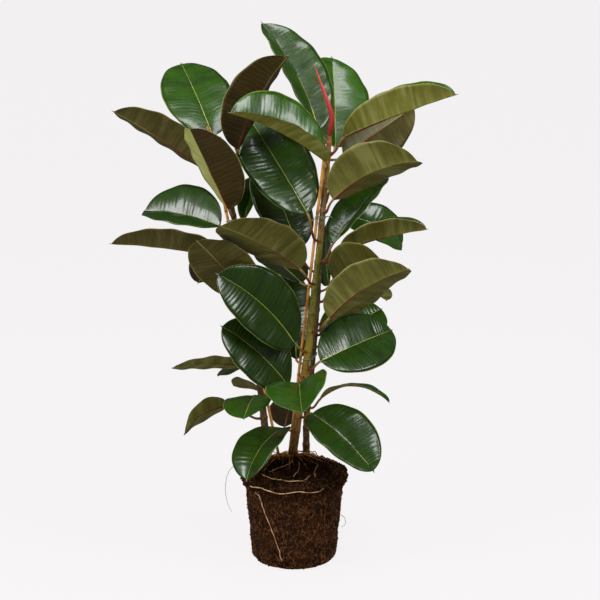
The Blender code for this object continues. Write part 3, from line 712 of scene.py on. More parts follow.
@dataclass
class Foliage:
    """All the leaves: each blade and its stalk is one closed sheet with a raised midrib and puckered side veins."""

    skins: LeafSkins = field(default_factory=LeafSkins)
    half_columns: int = 12
    rows_per_vein: int = 6
    stalk_rows: int = 12
    thickness: float = 0.0009
    pucker: float = 0.00036  # how far the lowest leaves rise between two side veins
    high_pucker: float = 0.14  # the highest leaves' share of that
    flat_from: float = 0.2  # the height above the soil from which leaves pucker less
    flat_over: float = 0.35  # over how much height the pucker falls to its least
    swell: float = 0.0014  # how far the blade rises and falls in broad lumps
    swell_length: float = 0.034  # how long those lumps are
    wave: float = 0.0011  # how far a margin waves
    wave_length: float = 0.046
    lean: float = 0.055  # how far a side vein's end lies ahead of its start, as a share of the blade
    rib_height: float = 0.0014  # of the midrib, under the blade
    rib_reach: float = 0.0016  # how far from its middle the midrib fades away
    groove_depth: float = 0.00025  # of the midrib's groove, on top of the blade
    groove_reach: float = 0.0011
    neck_height: float = 0.0013  # how thick the stalk still is on top of the blade's base
    neck_reach: float = 0.0022

    def midrib(self, leaf: Leaf, steps: int = 192) -> tuple[np.ndarray, np.ndarray, np.ndarray, np.ndarray]:
        """Points, tangents and normals along a blade's midrib from its base at zero, and its left-hand side."""
        heading, rise, length = leaf.blade
        chord = direction(heading, rise)
        turn = Quaternion(chord, math.radians(leaf.roll))
        side = turn @ Vector((-math.sin(math.radians(heading)), math.cos(math.radians(heading)), 0.0))
        up = chord.cross(side)
        share = np.linspace(0, 1, steps + 1)
        late = np.maximum(0.0, share - 0.67) / 0.33
        angle = -np.radians(leaf.arch * share + leaf.nod * late**2)
        middle = (angle[1:] + angle[:-1]) / 2
        x = np.concatenate([[0.0], np.cumsum(np.cos(middle))]) * length / steps
        z = np.concatenate([[0.0], np.cumsum(np.sin(middle))]) * length / steps
        tilt = math.atan2(z[-1], x[-1])
        along = x * math.cos(tilt) + z * math.sin(tilt)
        above = z * math.cos(tilt) - x * math.sin(tilt)
        aside = 4 * share * (1 - share) * leaf.bow * length
        chord, up, side = (np.array(value) for value in (chord, up, side))
        points = along[:, None] * chord + above[:, None] * up + aside[:, None] * side
        bend = (angle - tilt)[:, None]
        tangents = np.cos(bend) * chord + np.sin(bend) * up
        return points, tangents, np.cross(tangents, side), side

    def stalk_line(self, leaf: Leaf, into: Vector) -> tuple[list[Vector], list[Vector]]:
        """Points and tangents down a leaf's stalk, square out of its stem and then into the blade's line.

        Args:
            leaf: the leaf.
            into: the midrib's direction where the blade begins.

        Returns:
            The points, the first just under the bark, and the unit tangents.
        """
        heading, rise, length = leaf.stalk
        stem = STEMS[leaf.stem]
        middle = smooth_point(stem.way, leaf.height)
        bark = (smooth_point(stem.way, leaf.height + 0.004) - middle).normalized()
        out = direction(heading, 0.0)
        out = (out - bark * out.dot(bark)).normalized()
        start = middle + out * (stem_radius(stem, leaf.height) + 0.0006)
        end = start + direction(heading, rise) * length
        first, second = start + out * length * 0.3, end - into * length * 0.35
        spots, tangents = [start - out * 0.0022], [out]
        for step in range(self.stalk_rows + 1):
            t = step / self.stalk_rows
            s = 1.0 - t
            spots.append(start * s**3 + first * 3 * s * s * t + second * 3 * s * t * t + end * t**3)
            slope = (first - start) * s * s + (second - first) * 2 * s * t + (end - second) * t * t
            tangents.append(slope.normalized())
        return spots, tangents

    def half_width(self, share: np.ndarray) -> np.ndarray:
        """A blade's half width along it, as a share of its widest: oval, with a drip tip."""
        body = np.minimum(share / (1.0 - TIP_LENGTH * 0.6), 1.0)
        oval = (4.0 * body * (1.0 - body)) ** 0.54
        drip = np.where(share > 1.0 - 2 * TIP_LENGTH, 0.9 * (1.0 - share), 0.0)
        return np.maximum(oval, drip)

    def sheet(self, leaf: Leaf, base: np.ndarray, shares: np.ndarray, places: np.ndarray, seed: float) -> tuple:
        """The middle sheet of a blade and its normals.

        Args:
            leaf: the leaf.
            base: the point where the blade begins.
            shares: each row's share of the midrib.
            places: each column's place across, from 1 at the left margin to -1 at the right.
            seed: a number that makes this leaf's waves its own.

        Returns:
            The points, their unit normals and the distance of each from the midrib.
        """
        length = leaf.blade[2]
        points, _, normals, side = self.midrib(leaf)
        out = np.abs(places)
        along = shares[:, None] + self.lean * out**1.2 * 4 * shares[:, None] * (1 - shares[:, None])
        steps = np.linspace(0, 1, len(points))
        middle = np.stack([np.interp(along, steps, points[:, k]) for k in range(3)], -1)
        normal = np.stack([np.interp(along, steps, normals[:, k]) for k in range(3)], -1)
        half = self.half_width(along) * leaf.width / 2
        first, last = (math.radians(leaf.fold + turn * MARGIN_CURL / 2) for turn in (1, -1))
        angle = first + (last - first) * out
        across = (math.sin(first) - np.sin(angle)) / (first - last) * np.sign(places)
        above = (np.cos(angle) - math.cos(first)) / (first - last)
        sheet = base + middle + side * (across * half)[..., None] + normal * (above * half)[..., None]
        down = np.gradient(sheet, axis=0)
        over = np.gradient(sheet, axis=1)
        face = np.cross(over, down)
        face /= np.maximum(np.linalg.norm(face, axis=-1, keepdims=True), 1e-12)
        face *= np.sign(np.sum(face * normal, -1, keepdims=True))
        turns = shares[:, None] * length / self.skins.vein_pitch
        uneven = noise_sheet(shares * 9, np.sign(places), seed)
        share = min(1.0, max(0.0, (leaf.height - self.flat_from) / self.flat_over))
        depth = self.pucker * (1.0 + (self.high_pucker - 1.0) * share)
        patchy = 0.75 + 1.3 * noise_sheet(shares * 4, np.sign(places), seed + 7)
        pucker = depth * patchy * np.cos(2 * math.pi * (turns + 1.1 * uneven)) * np.sin(math.pi * out**0.7)
        ripple = self.wave * np.sin(2 * math.pi * along * length / self.wave_length + seed + np.sign(places) * 1.3)
        lift = pucker + ripple * out**2.5 * np.minimum(1.0, half / 0.03)
        broad = noise_sheet(shares * length / self.swell_length, places * 1.4, seed)
        lift += self.swell * broad * np.minimum(1.0, half / 0.02)
        return sheet + face * lift[..., None], face, out * half

    def build(self, leaf: Leaf, seed: float, made: list[Material]) -> Mesh:
        """One leaf's closed mesh, from under the bark to the tip, with its three finishes."""
        points, tangents, _, side = self.midrib(leaf)
        spots, slopes = self.stalk_line(leaf, Vector(tangents[0]))
        base = np.array(spots[-1])
        rows = round(leaf.blade[2] / self.skins.vein_pitch * self.rows_per_vein)
        shares = np.arange(1, rows) / rows
        half = (np.arange(self.half_columns + 1) / self.half_columns) ** 1.6
        places = np.concatenate([half[::-1], -half[1:]])
        sheet, face, reach = self.sheet(leaf, base, shares, places, seed)
        out = np.abs(places)
        thick = np.minimum(self.thickness / 2 * (1 - 0.5 * out), reach.max(1, keepdims=True) * 0.4) * (out < 1)
        rib = (1 - 0.8 * shares)[:, None] * np.minimum(1.0, (1 - shares)[:, None] * 12)
        neck = np.exp(-shares[:, None] / 0.02) * np.exp(-((reach / self.neck_reach) ** 2))
        groove = self.groove_depth * rib * np.exp(-((reach / self.groove_reach) ** 2))
        upper = sheet + face * (thick + self.neck_height * neck - groove)[..., None]
        ridge = self.rib_height * rib * np.exp(-((reach / self.rib_reach) ** 2))
        lower = sheet - face * (thick + ridge)[..., None]
        blade = np.concatenate([upper, lower[:, -2:0:-1]], axis=1)
        count = blade.shape[1]
        stalk = []
        for k, (spot, slope) in enumerate(zip(spots, slopes)):
            t = k / (len(spots) - 1)
            swell = 1.0 + 0.35 * math.exp(-t / 0.12) + 0.12 * math.exp(-(1 - t) / 0.1)
            across = (Vector(side) - slope * slope.dot(Vector(side))).normalized()
            ring = circle(across, slope.cross(across), count)
            stalk.append(np.array(spot) + ring * PETIOLE_RADIUS * swell)
        tip = base + points[-1]
        rings = len(stalk) + len(blade)
        joined = np.concatenate([np.array(stalk).reshape(-1, 3), blade.reshape(-1, 3), tip[None]])
        faces = ring_faces(rings, count)
        faces.append(tuple(reversed(range(count))))
        last = (rings - 1) * count
        faces += [(last + k, last + (k + 1) % count, last + count) for k in range(count)]
        data = mesh_of(leaf.name, joined, faces, made)
        sides = [int(k >= count // 2) for k in range(count)]
        slots = [2] * ((len(stalk) - 1) * count) + sides * len(blade) + [2] + sides
        data.polygons.foreach_set("material_index", slots)
        self.carry_places(data, leaf, len(stalk), places, reach)
        return data

    def carry_places(self, data: Mesh, leaf: Leaf, rings: int, places: np.ndarray, reach: np.ndarray) -> None:
        """Stores each point's place on the blade, and the leaf's tone, for the finishes to read.

        Args:
            data: the leaf's mesh.
            leaf: the leaf.
            rings: how many rings of points its stalk has.
            places: each column's place across the blade, from 1 at the left margin to -1 at the right.
            reach: each point's distance from the midrib, by row and column.
        """
        length = leaf.blade[2]
        rows = np.linspace(-leaf.stalk[2], 0, rings)
        count = 2 * (len(places) - 1)
        vein = np.repeat(np.linspace(0, 1, len(reach) + 2)[1:-1, None] * length, len(places), 1)
        upper = np.stack([vein, reach * np.sign(places), np.broadcast_to(np.abs(places), reach.shape)], -1)
        blade = np.concatenate([upper, upper[:, -2:0:-1]], axis=1).reshape(-1, 3)
        held = np.stack([np.repeat(rows, count), np.full(len(rows) * count, 0.02), np.zeros(len(rows) * count)], -1)
        carry(data, "blade", np.concatenate([held, blade, [[length, 0.0, 0.0]]]))
        tone = next((tone for tone, names in TONES.items() if leaf.name in names), Tone.PLAIN)
        sides = np.concatenate([np.zeros(len(rows) * count), blade[:, 1], [0.0]])
        # A half listed in the halves tables gets its own tone: painted shade or painted light on that half.
        left, right = (halves.get(leaf.name, tone).value for halves in (SHADE_PAINTED_LEFT_HALVES, LIGHT_PAINTED_RIGHT_HALVES))
        carry(data, "tone", np.where(sides > 0, left, np.where(sides < 0, right, tone.value)))
        carry(data, "leaf", np.full(len(data.vertices), float(LEAVES.index(leaf))))

    def make(self) -> None:
        """Builds every leaf in place of its CAD solid."""
        made = [self.skins.upper(), self.skins.under(), self.skins.stalk()]
        for number, leaf in enumerate(LEAVES):
            data = self.build(leaf, number * 2.4, made)
            place_piece(f"{leaf.name}_blade", data, "leaf", leaf.name)


# --- Stems, canes, ties and the bud ----------------------------------------------------------------------------------


class Bark(Enum):
    """How a stem's bark changes colour from the soil up, as (share of the stem, colour) stops."""

    GREENWOOD = ((0.0, "#6e3c0a"), (0.12, "#8a5c12"), (0.3, "#936f12"), (0.42, "#837612"), (0.54, "#66660a"),
                 (0.66, "#6a640c"), (0.78, "#735426"), (0.93, "#87642a"), (1.0, "#8f5022"))
    BROWN = ((0.0, "#4a3114"), (0.25, "#523a18"), (0.5, "#4e431b"), (0.75, "#4a3a1a"), (1.0, "#5b3a22"))


@dataclass
class Stems:
    """The three stems: tapered bark with a ring scar and a swelling at each node, and corky dots between them."""

    sides: int = 40
    step: float = 0.0022
    below_soil: float = 0.012
    node_swell: float = 0.0011
    bare_node_pitch: float = 0.034
    dot_size: float = 0.00055
    dots_per_square_metre: float = 9000.0
    foot_flare: float = 0.0022  # how much wider a stem is where it leaves the soil
    flare_height: float = 0.010
    node_reach: float = 0.0035  # half the height of the swelling at a node
    scar_drop: float = 0.0012  # how far below a node its ring scar lies
    scar_reach: float = 0.0011
    scar_depth: float = 0.0004

    def bark(self, kind: Bark) -> Material:
        """Thin young bark: fine lengthwise cracks, corky flecks and rings, satin where it is still green."""
        finish = Finish(f"{kind.name.lower()} bark", 0.6)
        tree = finish.tree
        base = add(tree, "ShaderNodeValToRGB", {0: finish.read("along")}, ramp=kind.value).outputs[0]
        streaks = finish.grain(0.0022, 4.0, (1.0, 1.0, 0.16))
        dark = finish.lay(base, band_of(tree, streaks, 0.36, 0.52), 0.6, "#3a2208")
        pale = finish.lay(dark, band_of(tree, finish.grain(0.0045, 3.0), 0.68, 0.58), 0.55, "#a3924a")
        finish.paint(finish.lay(pale, finish.read("scar"), 0.45, "#3c2213"))
        finish.gloss(sum_of(tree, "MULTIPLY_ADD", streaks, 0.3, 0.35))
        finish.relief(sum_of(tree, "ADD", streaks, sum_of(tree, "MULTIPLY", finish.grain(0.0012), 0.5)), 0.0006)
        return finish.material

    def nodes_on(self, key: str) -> list[float]:
        """The heights of a stem's leaf nodes and of the bare ones between them."""
        heights = sorted(leaf.height for leaf in LEAVES if leaf.stem == key)
        bare = np.arange(0.03, STEMS[key].way[-1][0], self.bare_node_pitch)
        return heights + [h for h in bare if min(abs(h - other) for other in heights) > self.bare_node_pitch * 0.45]

    def build(self, key: str) -> Mesh:
        """One stem's mesh, from just under the soil to its tip."""
        stem = STEMS[key]
        top = stem.way[-1][0]
        heights = np.linspace(-self.below_soil, top, round((top + self.below_soil) / self.step))
        line = [smooth_point(stem.way, height) for height in heights]
        nodes = self.nodes_on(key)
        turns = np.arange(self.sides) / self.sides * 2 * math.pi
        radii, scars = np.zeros((len(heights), self.sides)), np.zeros((len(heights), self.sides))
        for row, (height, spot) in enumerate(zip(heights, line)):
            radius = stem_radius(stem, height)
            flare = self.foot_flare * math.exp(-max(height, 0.0) / self.flare_height)
            near = min((height - node for node in nodes), key=abs)
            swell = self.node_swell * math.exp(-((near / self.node_reach) ** 2))
            scars[row] = math.exp(-(((near + self.scar_drop) / self.scar_reach) ** 2))
            for k, turn in enumerate(turns):
                around = Vector((math.cos(turn) * 0.006, math.sin(turn) * 0.006, spot.z))
                rough = 0.0005 * noise.noise(around * 260) + 0.0004 * noise.noise(around * 90)
                radii[row, k] = radius * SKIN_SHARE + flare + swell + rough - self.scar_depth * scars[row, k]
        closed = tube_mesh(stem.name, line, radii, self.bark(Bark.GREENWOOD if key == "front" else Bark.BROWN))
        carry(closed, "scar", scars.ravel())
        return closed

    def dots(self, stem: Object, seed: int) -> Mesh:
        """Corky dots scattered over a stem's bark."""
        sizes = {"Dot Size": self.dot_size, "Density": self.dots_per_square_metre, "Seed": seed}
        grown = GrowthTree("corky dots", sizes)
        spread = grown.scatter(grown.given["Density"], grown.given["Seed"])
        dot = grown.add("MeshIcoSphere", {"Radius": grown.given["Dot Size"], "Subdivisions": 2}).outputs[0]
        size = random_of(grown.tree, (0.5, 0.5, 0.3), (1.2, 2.0, 0.55), grown.given["Seed"])
        grown.finish(grown.instances(spread["Points"], dot, spread["Rotation"], size), self.cork())
        return grown.run(stem, f"{stem.name}_dots")

    def cork(self) -> Material:
        """Dry cork: pale, matt and slightly uneven."""
        finish = Finish("corky dots", 0.85)
        finish.paint(blend_of(finish.tree, finish.grain(0.002), "#6b5230", "#9a8450"))
        return finish.material

    def make(self) -> None:
        """Builds the stems in place of their CAD solids."""
        for number, key in enumerate(STEMS):
            stem = place_piece(f"{STEMS[key].name}_bark", self.build(key), "bark", STEMS[key].name)
            place_piece(f"{STEMS[key].name}_dots", self.dots(stem, number + 3), "bark")


@dataclass
class Canes:
    """The bamboo canes: straight, with a ring at each joint and a square-cut hollow top."""

    sides: int = 24
    step: float = 0.003
    below_soil: float = 0.015
    joint_pitch: float = 0.105
    joint_swell: float = 0.0007
    joint_reach: float = 0.0028
    joint_groove: float = 0.0003
    groove_reach: float = 0.0016
    bore: float = 0.55  # of the radius
    bore_depth: float = 0.006

    def bamboo(self) -> Material:
        """Dried split-free bamboo: satin skin, fine lengthwise fibres, dark rings at the joints."""
        finish = Finish("dried bamboo cane", 0.42, Coat_Weight=0.15, Coat_Roughness=0.3)
        tree = finish.tree
        fibre = finish.grain(0.0012, 3.0, (1.0, 1.0, 0.05))
        skin = blend_of(tree, fibre, "#a8661c", "#dba552")
        skin = finish.lay(skin, band_of(tree, finish.grain(0.02, 3.0), 0.62, 0.5), 0.6, "#8a4a14")
        finish.paint(finish.lay(skin, finish.read("joint"), 0.8, "#5c3312"))
        finish.gloss(sum_of(tree, "MULTIPLY_ADD", fibre, 0.2, 0.32))
        finish.relief(fibre, 0.00025)
        return finish.material

    def build(self, cane: Cane, made: Material) -> Mesh:
        """One cane's mesh, hollow at its cut top."""
        top = cane.top[0]
        heights = np.linspace(-self.below_soil, top, round((top + self.below_soil) / self.step))
        phase = (heights + 0.03) % self.joint_pitch
        near = np.minimum(phase, self.joint_pitch - phase)
        joint = np.exp(-((near / self.groove_reach) ** 2))
        swell = self.joint_swell * np.exp(-((near / self.joint_reach) ** 2))
        shape = CANE_RADIUS * SKIN_SHARE + swell - self.joint_groove * joint
        inner = [(top, shape[-1] * self.bore), (top - self.bore_depth, shape[-1] * self.bore * 0.9)]
        line = [cane_point(cane, height) for height in (*heights, *(height for height, _ in inner))]
        radii = np.concatenate([shape, [radius for _, radius in inner]])
        axis = (cane_point(cane, top) - cane_point(cane, 0.0)).normalized()
        data = tube_mesh(cane.name, line, np.repeat(radii[:, None], self.sides, 1), made, axis)
        carry(data, "joint", np.repeat(np.concatenate([joint, [0.3, 1.0]]), self.sides))
        return data

    def make(self) -> None:
        """Builds the canes in place of their CAD solids."""
        made = self.bamboo()
        for cane in CANES.values():
            place_piece(f"{cane.name}_bamboo", self.build(cane, made), "cane", cane.name)


@dataclass
class Ties:
    """Garden twine round the stems and their canes: twisted strands with a loose tail at each end."""

    strand_radius: float = 0.00052
    twist_pitch: float = 0.0042
    strands: int = 3
    strand_sides: int = 7
    slack: float = 1.03  # the loop's radius as a share of what it holds
    half_thickness: float = 0.0009

    def jute(self) -> Material:
        """Weathered grey-green jute: dry, hairy and matt."""
        finish = Finish("weathered garden twine", 0.92, Sheen_Weight=0.3)
        finish.paint(blend_of(finish.tree, finish.grain(0.0015, 4.0), "#4d5a40", "#93a184"))
        finish.relief(finish.grain(0.0004), 0.0002)
        return finish.material

    def line(self, stems: tuple, cane: str, height: float, leaves_at: float) -> list[Vector]:
        """The twine's middle: the tightest rising loop round its stems and cane, with a tail at each end."""
        points = []
        for step in range(int(TIE_POINTS * TIE_TURNS) + 1):
            turn = math.radians(leaves_at) + 2 * math.pi * step / TIE_POINTS
            level = height + TWINE_PITCH * step / TIE_POINTS
            away = Vector((math.cos(turn), math.sin(turn), 0.0))
            held = [(smooth_point(STEMS[key].way, level), stem_radius(STEMS[key], level)) for key in stems]
            held.append((cane_point(CANES[cane], level), CANE_RADIUS))
            middle, radius = max(held, key=lambda body: body[0].dot(away) + body[1])
            points.append(middle + away * (radius * self.slack + self.half_thickness))
        middle = sum(points, Vector()) / len(points)
        for end, inner in ((points[0], points[1]), (points[-1], points[-2])):
            run = (end - inner).normalized()
            outwards = Vector((end.x - middle.x, end.y - middle.y, 0.0)).normalized()
            side = -1.0 if end is points[0] else 1.0
            tail = []
            for share in (0.35, 0.7, 1.0):
                drop = Vector((0, 0, side * 0.15 * TAIL * share - 0.3 * TAIL * share**2))
                tail.append(end + (run * 0.6 + outwards * 0.8).normalized() * TAIL * share + drop)
            points = tail[::-1] + points if side < 0 else points + tail
        return through(points, len(points) * 3)

    def twist(self, line: list[Vector], name: str, made: Material) -> Mesh:
        """Strands twisted along a line."""
        sizes = {"Strand Radius": self.strand_radius, "Twist Pitch": self.twist_pitch, "Strands": self.strands}
        grown = GrowthTree("twisted twine", sizes)
        curve = grown.add("MeshToCurve", {0: grown.given["Geometry"]}).outputs[0]
        curve = grown.add("ResampleCurve", {"Curve": curve, "Length": 0.0006}, mode="LENGTH").outputs[0]
        run = grown.add("SplineParameter").outputs["Length"]
        turn = sum_of(grown.tree, "MULTIPLY", run, 2 * math.pi)
        turn = sum_of(grown.tree, "DIVIDE", turn, grown.given["Twist Pitch"])
        curve = grown.add("SetCurveTilt", {"Curve": curve, "Tilt": turn}).outputs[0]
        ring, strand = (
            grown.add("CurvePrimitiveCircle", {"Resolution": sides, "Radius": grown.given["Strand Radius"]}).outputs[0]
            for sides in (grown.given["Strands"], self.strand_sides)
        )
        middles = grown.add("CurveToPoints", {"Curve": ring}, mode="EVALUATED").outputs[0]
        profile = grown.add("InstanceOnPoints", {"Points": middles, "Instance": strand}).outputs[0]
        profile = grown.add("RealizeInstances", {0: profile}).outputs[0]
        body = grown.add("CurveToMesh", {"Curve": curve, "Profile Curve": profile, "Fill Caps": True}).outputs[0]
        grown.finish(body, made)
        path = bpy.data.meshes.new(f"{name}_path")
        path.from_pydata([tuple(point) for point in line], [(k, k + 1) for k in range(len(line) - 1)], [])
        base = new_object(f"{name}_path", path)
        data = grown.run(base, name)
        bpy.data.objects.remove(base)
        return data

    def make(self) -> None:
        """Builds the ties in place of their CAD solids."""
        made = self.jute()
        for name, stems, cane, height, leaves_at in TIES:
            data = self.twist(self.line(stems, cane, height, leaves_at), name, made)
            place_piece(f"{name}_twine", data, "twine", name)


@dataclass
class BudSheath:
    """The red pointed sheath round the next leaf, on top of the front stem."""

    sides: int = 24
    rings: int = 60

    def skin(self) -> Material:
        """Thin waxy sheath: coral red, darker at its foot and along its seams."""
        finish = Finish("waxy red bud sheath", 0.34, Coat_Weight=0.2, Coat_Roughness=0.2)
        tree = finish.tree
        along = add(tree, "ShaderNodeValToRGB", {0: finish.read("along")},
                    ramp=((0.0, "#8a2a1c"), (0.2, "#a3242a"), (0.6, "#bf3a3c"), (1.0, "#c8565a"))).outputs[0]
        seam = finish.grain(0.0016, 3.0, (1.0, 1.0, 0.08))
        finish.paint(finish.lay(along, seam, 0.4, "#7d1420"))
        finish.relief(seam, 0.0002)
        return finish.material

    def make(self) -> None:
        """Builds the sheath in place of its CAD solid."""
        rows = [Vector((x, y, BALL_HEIGHT + height)) for height, x, y, _ in SHEATH]
        height, x, y = SHEATH_TIP
        line = through([*rows, Vector((x, y, BALL_HEIGHT + height))], self.rings)
        radii = np.interp(np.linspace(0, 1, self.rings + 1), np.linspace(0, 1, len(rows) + 1),
                          [row[3] for row in SHEATH] + [0.0003])
        turns = np.arange(self.sides) / self.sides * 2 * math.pi
        fluted = radii[:, None] * (1 + 0.05 * np.cos(3 * turns)[None])
        place_piece("bud_sheath", tube_mesh("bud_sheath", line, fluted, self.skin()), "sheath", "tip_sheath")


# --- Root ball -------------------------------------------------------------------------------------------------------


def on_ball(bearing: float, place: float, lift: float) -> Vector:
    """A point just outside the root ball: places 0 to 1 cross the top, 1 to 2 go down the side."""
    turn = math.radians(bearing)
    if place <= 1.0:
        radius = BALL_TOP_RADIUS * place
        z = soil_height(radius, 0.0) + lift
    else:
        share = place - 1.0
        radius = RootBall.side_radius(BALL_HEIGHT * (1.0 - share)) + lift
        z = BALL_HEIGHT * (1.0 - share)
    return Vector((math.cos(turn) * radius, math.sin(turn) * radius, z))


@dataclass
class RootBall:
    """Potting soil held by roots in the pot's shape, with a crumbly collar of loose soil round its top."""

    around: int = 320
    rows: int = 210
    collar_height: float = 0.148
    crumb_size: float = 0.0016
    crumbs_per_square_metre: float = 80000.0
    net_root_radius: float = 0.00026
    net_root_length: float = 0.05
    net_roots_per_square_metre: float = 12000.0
    crown_roots: int = 29
    crown_steps: int = 24
    hair_root_radius: float = 0.0006
    hair_steps: int = 50
    under_rows: float = 0.12  # the share of the rows on the underside
    side_rows: float = 0.5  # and on the side: the rest cross the top
    firm: float = 0.16  # how crumbly the side is
    edge_drop: float = 0.004  # how far the top falls away at the rim
    crown_reach: float = 0.03  # the shortest crown root, and how much longer others are
    crown_spread: float = 0.055
    crown_radius: float = 0.0008  # the thinnest, and how much thicker others are
    crown_radius_spread: float = 0.0006
    surface_root_radius: float = 0.0011
    top_lift: float = 0.0048  # how far a thick root's middle lies off the smooth ball, on its top
    side_sink: float = 0.0026  # and how much less that is on the side

    @staticmethod
    def side_radius(z: float) -> float:
        """The ball's radius at a height: the pot's taper, then a step out to the collar."""
        taper = BALL_FOOT_RADIUS + BALL_TAPER * min(z, TAPER_TOP) / TAPER_TOP
        collar = COLLAR_STEP / (1.0 + math.exp(-(z - COLLAR_BOTTOM) / COLLAR_BLEND))
        return taper + collar - FOOT_ROUNDING * max(0.0, 1.0 - z / FOOT_ROUNDING_HEIGHT) ** 2

    def soil(self) -> Material:
        """Peaty potting soil: nearly black, fibrous, with specks of bark and pale root; it never shines."""
        finish = Finish("peaty potting soil", 0.95, Specular_IOR_Level=0.12)
        tree = finish.tree
        fibre = finish.grain(0.0035, 6.0, (1.0, 1.0, 0.55))
        base = add(tree, "ShaderNodeValToRGB", {0: fibre},
                   ramp=((0.38, "#060200"), (0.48, "#1a0b03"), (0.57, "#311807"), (0.68, "#6f4119"))).outputs[0]
        rooty = finish.lay(base, band_of(tree, finish.grain(0.035, 3.0), 0.62, 0.42), 0.35, "#3d1f07")
        finish.paint(finish.lay(rooty, finish.read("crumble"), 0.6, "#140903"))
        finish.relief(sum_of(tree, "ADD", fibre, finish.grain(0.0012, 4.0)), 0.0016)
        return finish.material

    def crumb_soil(self) -> Material:
        """Loose crumbs of soil, peat and bark: each lump a little lighter or darker than the next."""
        finish = Finish("soil crumbs", 0.95, Specular_IOR_Level=0.12)
        lumps = finish.grain(0.0028, 2.0)
        base = add(finish.tree, "ShaderNodeValToRGB", {0: lumps},
                   ramp=((0.3, "#0c0502"), (0.48, "#231207"), (0.6, "#43260e"), (0.68, "#875a28"))).outputs[0]
        finish.paint(base)
        finish.relief(finish.grain(0.0006), 0.0003)
        return finish.material

    def root_skin(self, name: str, dark: str, pale: str) -> Material:
        """Fine root skin: tan to orange, dusty with soil."""
        finish = Finish(name, 0.75, Specular_IOR_Level=0.25)
        tree = finish.tree
        skin = blend_of(tree, band_of(tree, finish.grain(0.012, 3.0), 0.36, 0.64), pale, dark)
        finish.paint(finish.lay(skin, finish.grain(0.0016), 0.5, "#2c1a0c"))
        finish.relief(finish.grain(0.0008), 0.0002)
        return finish.material

    def shape(self, row: float, turn: float) -> tuple[Vector, float]:
        """A point of the rough surface, and how crumbly it is there.

        Args:
            row: 0 in the middle of the underside, 1 in the middle of the top.
            turn: the angle round the ball.
        """
        out = Vector((math.cos(turn), math.sin(turn), 0.0))
        side_end = self.under_rows + self.side_rows
        if row < self.under_rows:
            point, away, crumble = out * (UNDERSIDE_RADIUS * row / self.under_rows), Vector((0, 0, -1)), 0.1
        elif row < side_end:
            z = BALL_HEIGHT * (row - self.under_rows) / self.side_rows
            point, away = out * self.side_radius(z) + Vector((0, 0, z)), out
            crumble = self.firm + (1.0 - self.firm) / (1.0 + math.exp(-(z - self.collar_height) / 0.003))
        else:
            share = 1.0 - (row - side_end) / (1.0 - side_end)
            radius = self.side_radius(BALL_HEIGHT) * share
            z = soil_height(radius, 0) - self.edge_drop * share**10
            point, away, crumble = out * radius + Vector((0, 0, z)), Vector((0, 0, 1)), 1.0
        rough = 0.0014 * noise.fractal(point * 55, 1.0, 2.0, 3) + 0.0009 * noise.noise(point * 330)
        lumps = 0.0048 * noise.fractal(point * 75 + Vector((7, 1, 3)), 0.9, 2.1, 4)
        lumps += 0.0016 * noise.noise(point * 400)
        share = max(0.0, crumble - self.firm) / (1.0 - self.firm)
        moved = point + away * (rough * (1 - share) + lumps * share) + wiggle(point, 0.02, 0.0016 * share)
        moved.z = max(moved.z, 0.0) if row > 0.02 else 0.0
        return moved, crumble

    def body(self) -> Mesh:
        """The ball's closed mesh."""
        points, crumble = [], []
        for row in range(1, self.rows):
            for step in range(self.around):
                point, loose = self.shape(row / self.rows, step / self.around * 2 * math.pi)
                points.append(point)
                crumble.append(loose)
        low, high = len(points), len(points) + 1
        points += [Vector((0, 0, 0)), Vector((0, 0, soil_height(0, 0)))]
        crumble += [0.1, 1.0]
        faces = ring_faces(self.rows - 1, self.around)
        last = (self.rows - 2) * self.around
        faces += [(low, (k + 1) % self.around, k) for k in range(self.around)]
        faces += [(high, last + k, last + (k + 1) % self.around) for k in range(self.around)]
        data = mesh_of("root_ball", np.array([tuple(point) for point in points]), faces, [self.soil()])
        carry(data, "crumble", np.array(crumble))
        return data

    def crumbs(self, ball: Object) -> Mesh:
        """Loose crumbs scattered over the ball, most of them on its top and its collar."""
        sizes = {"Crumb Size": self.crumb_size, "Density": self.crumbs_per_square_metre, "Seed": 11}
        grown = GrowthTree("soil crumbs", sizes)
        loose = grown.add("InputNamedAttribute", {"Name": "crumble"}, data_type="FLOAT").outputs[0]
        density = sum_of(grown.tree, "MULTIPLY", loose, grown.given["Density"])
        spread = grown.scatter(density, grown.given["Seed"])
        lump = grown.add("MeshIcoSphere", {"Radius": grown.given["Crumb Size"], "Subdivisions": 1}).outputs[0]
        size = random_of(grown.tree, (0.4, 0.4, 0.3), (1.9, 1.3, 1.0), 5)
        turn = random_of(grown.tree, (0.0, 0.0, 0.0), (6.28, 6.28, 6.28), 6)
        placed = grown.instances(spread["Points"], lump, turn, size)
        moved = grown.shake(grown.add("RealizeInstances", {0: placed}).outputs[0], 700.0, 0.0024)
        place = grown.add("InputPosition").outputs[0]
        lowest = (-1.0, -1.0, 0.0)  # nothing goes below the floor
        floor = add(grown.tree, "ShaderNodeVectorMath", {0: place, 1: lowest}, operation="MAXIMUM").outputs[0]
        moved = grown.add("SetPosition", {"Geometry": moved, "Position": floor}).outputs[0]
        grown.finish(moved, self.crumb_soil())
        return grown.run(ball, "soil_crumbs")

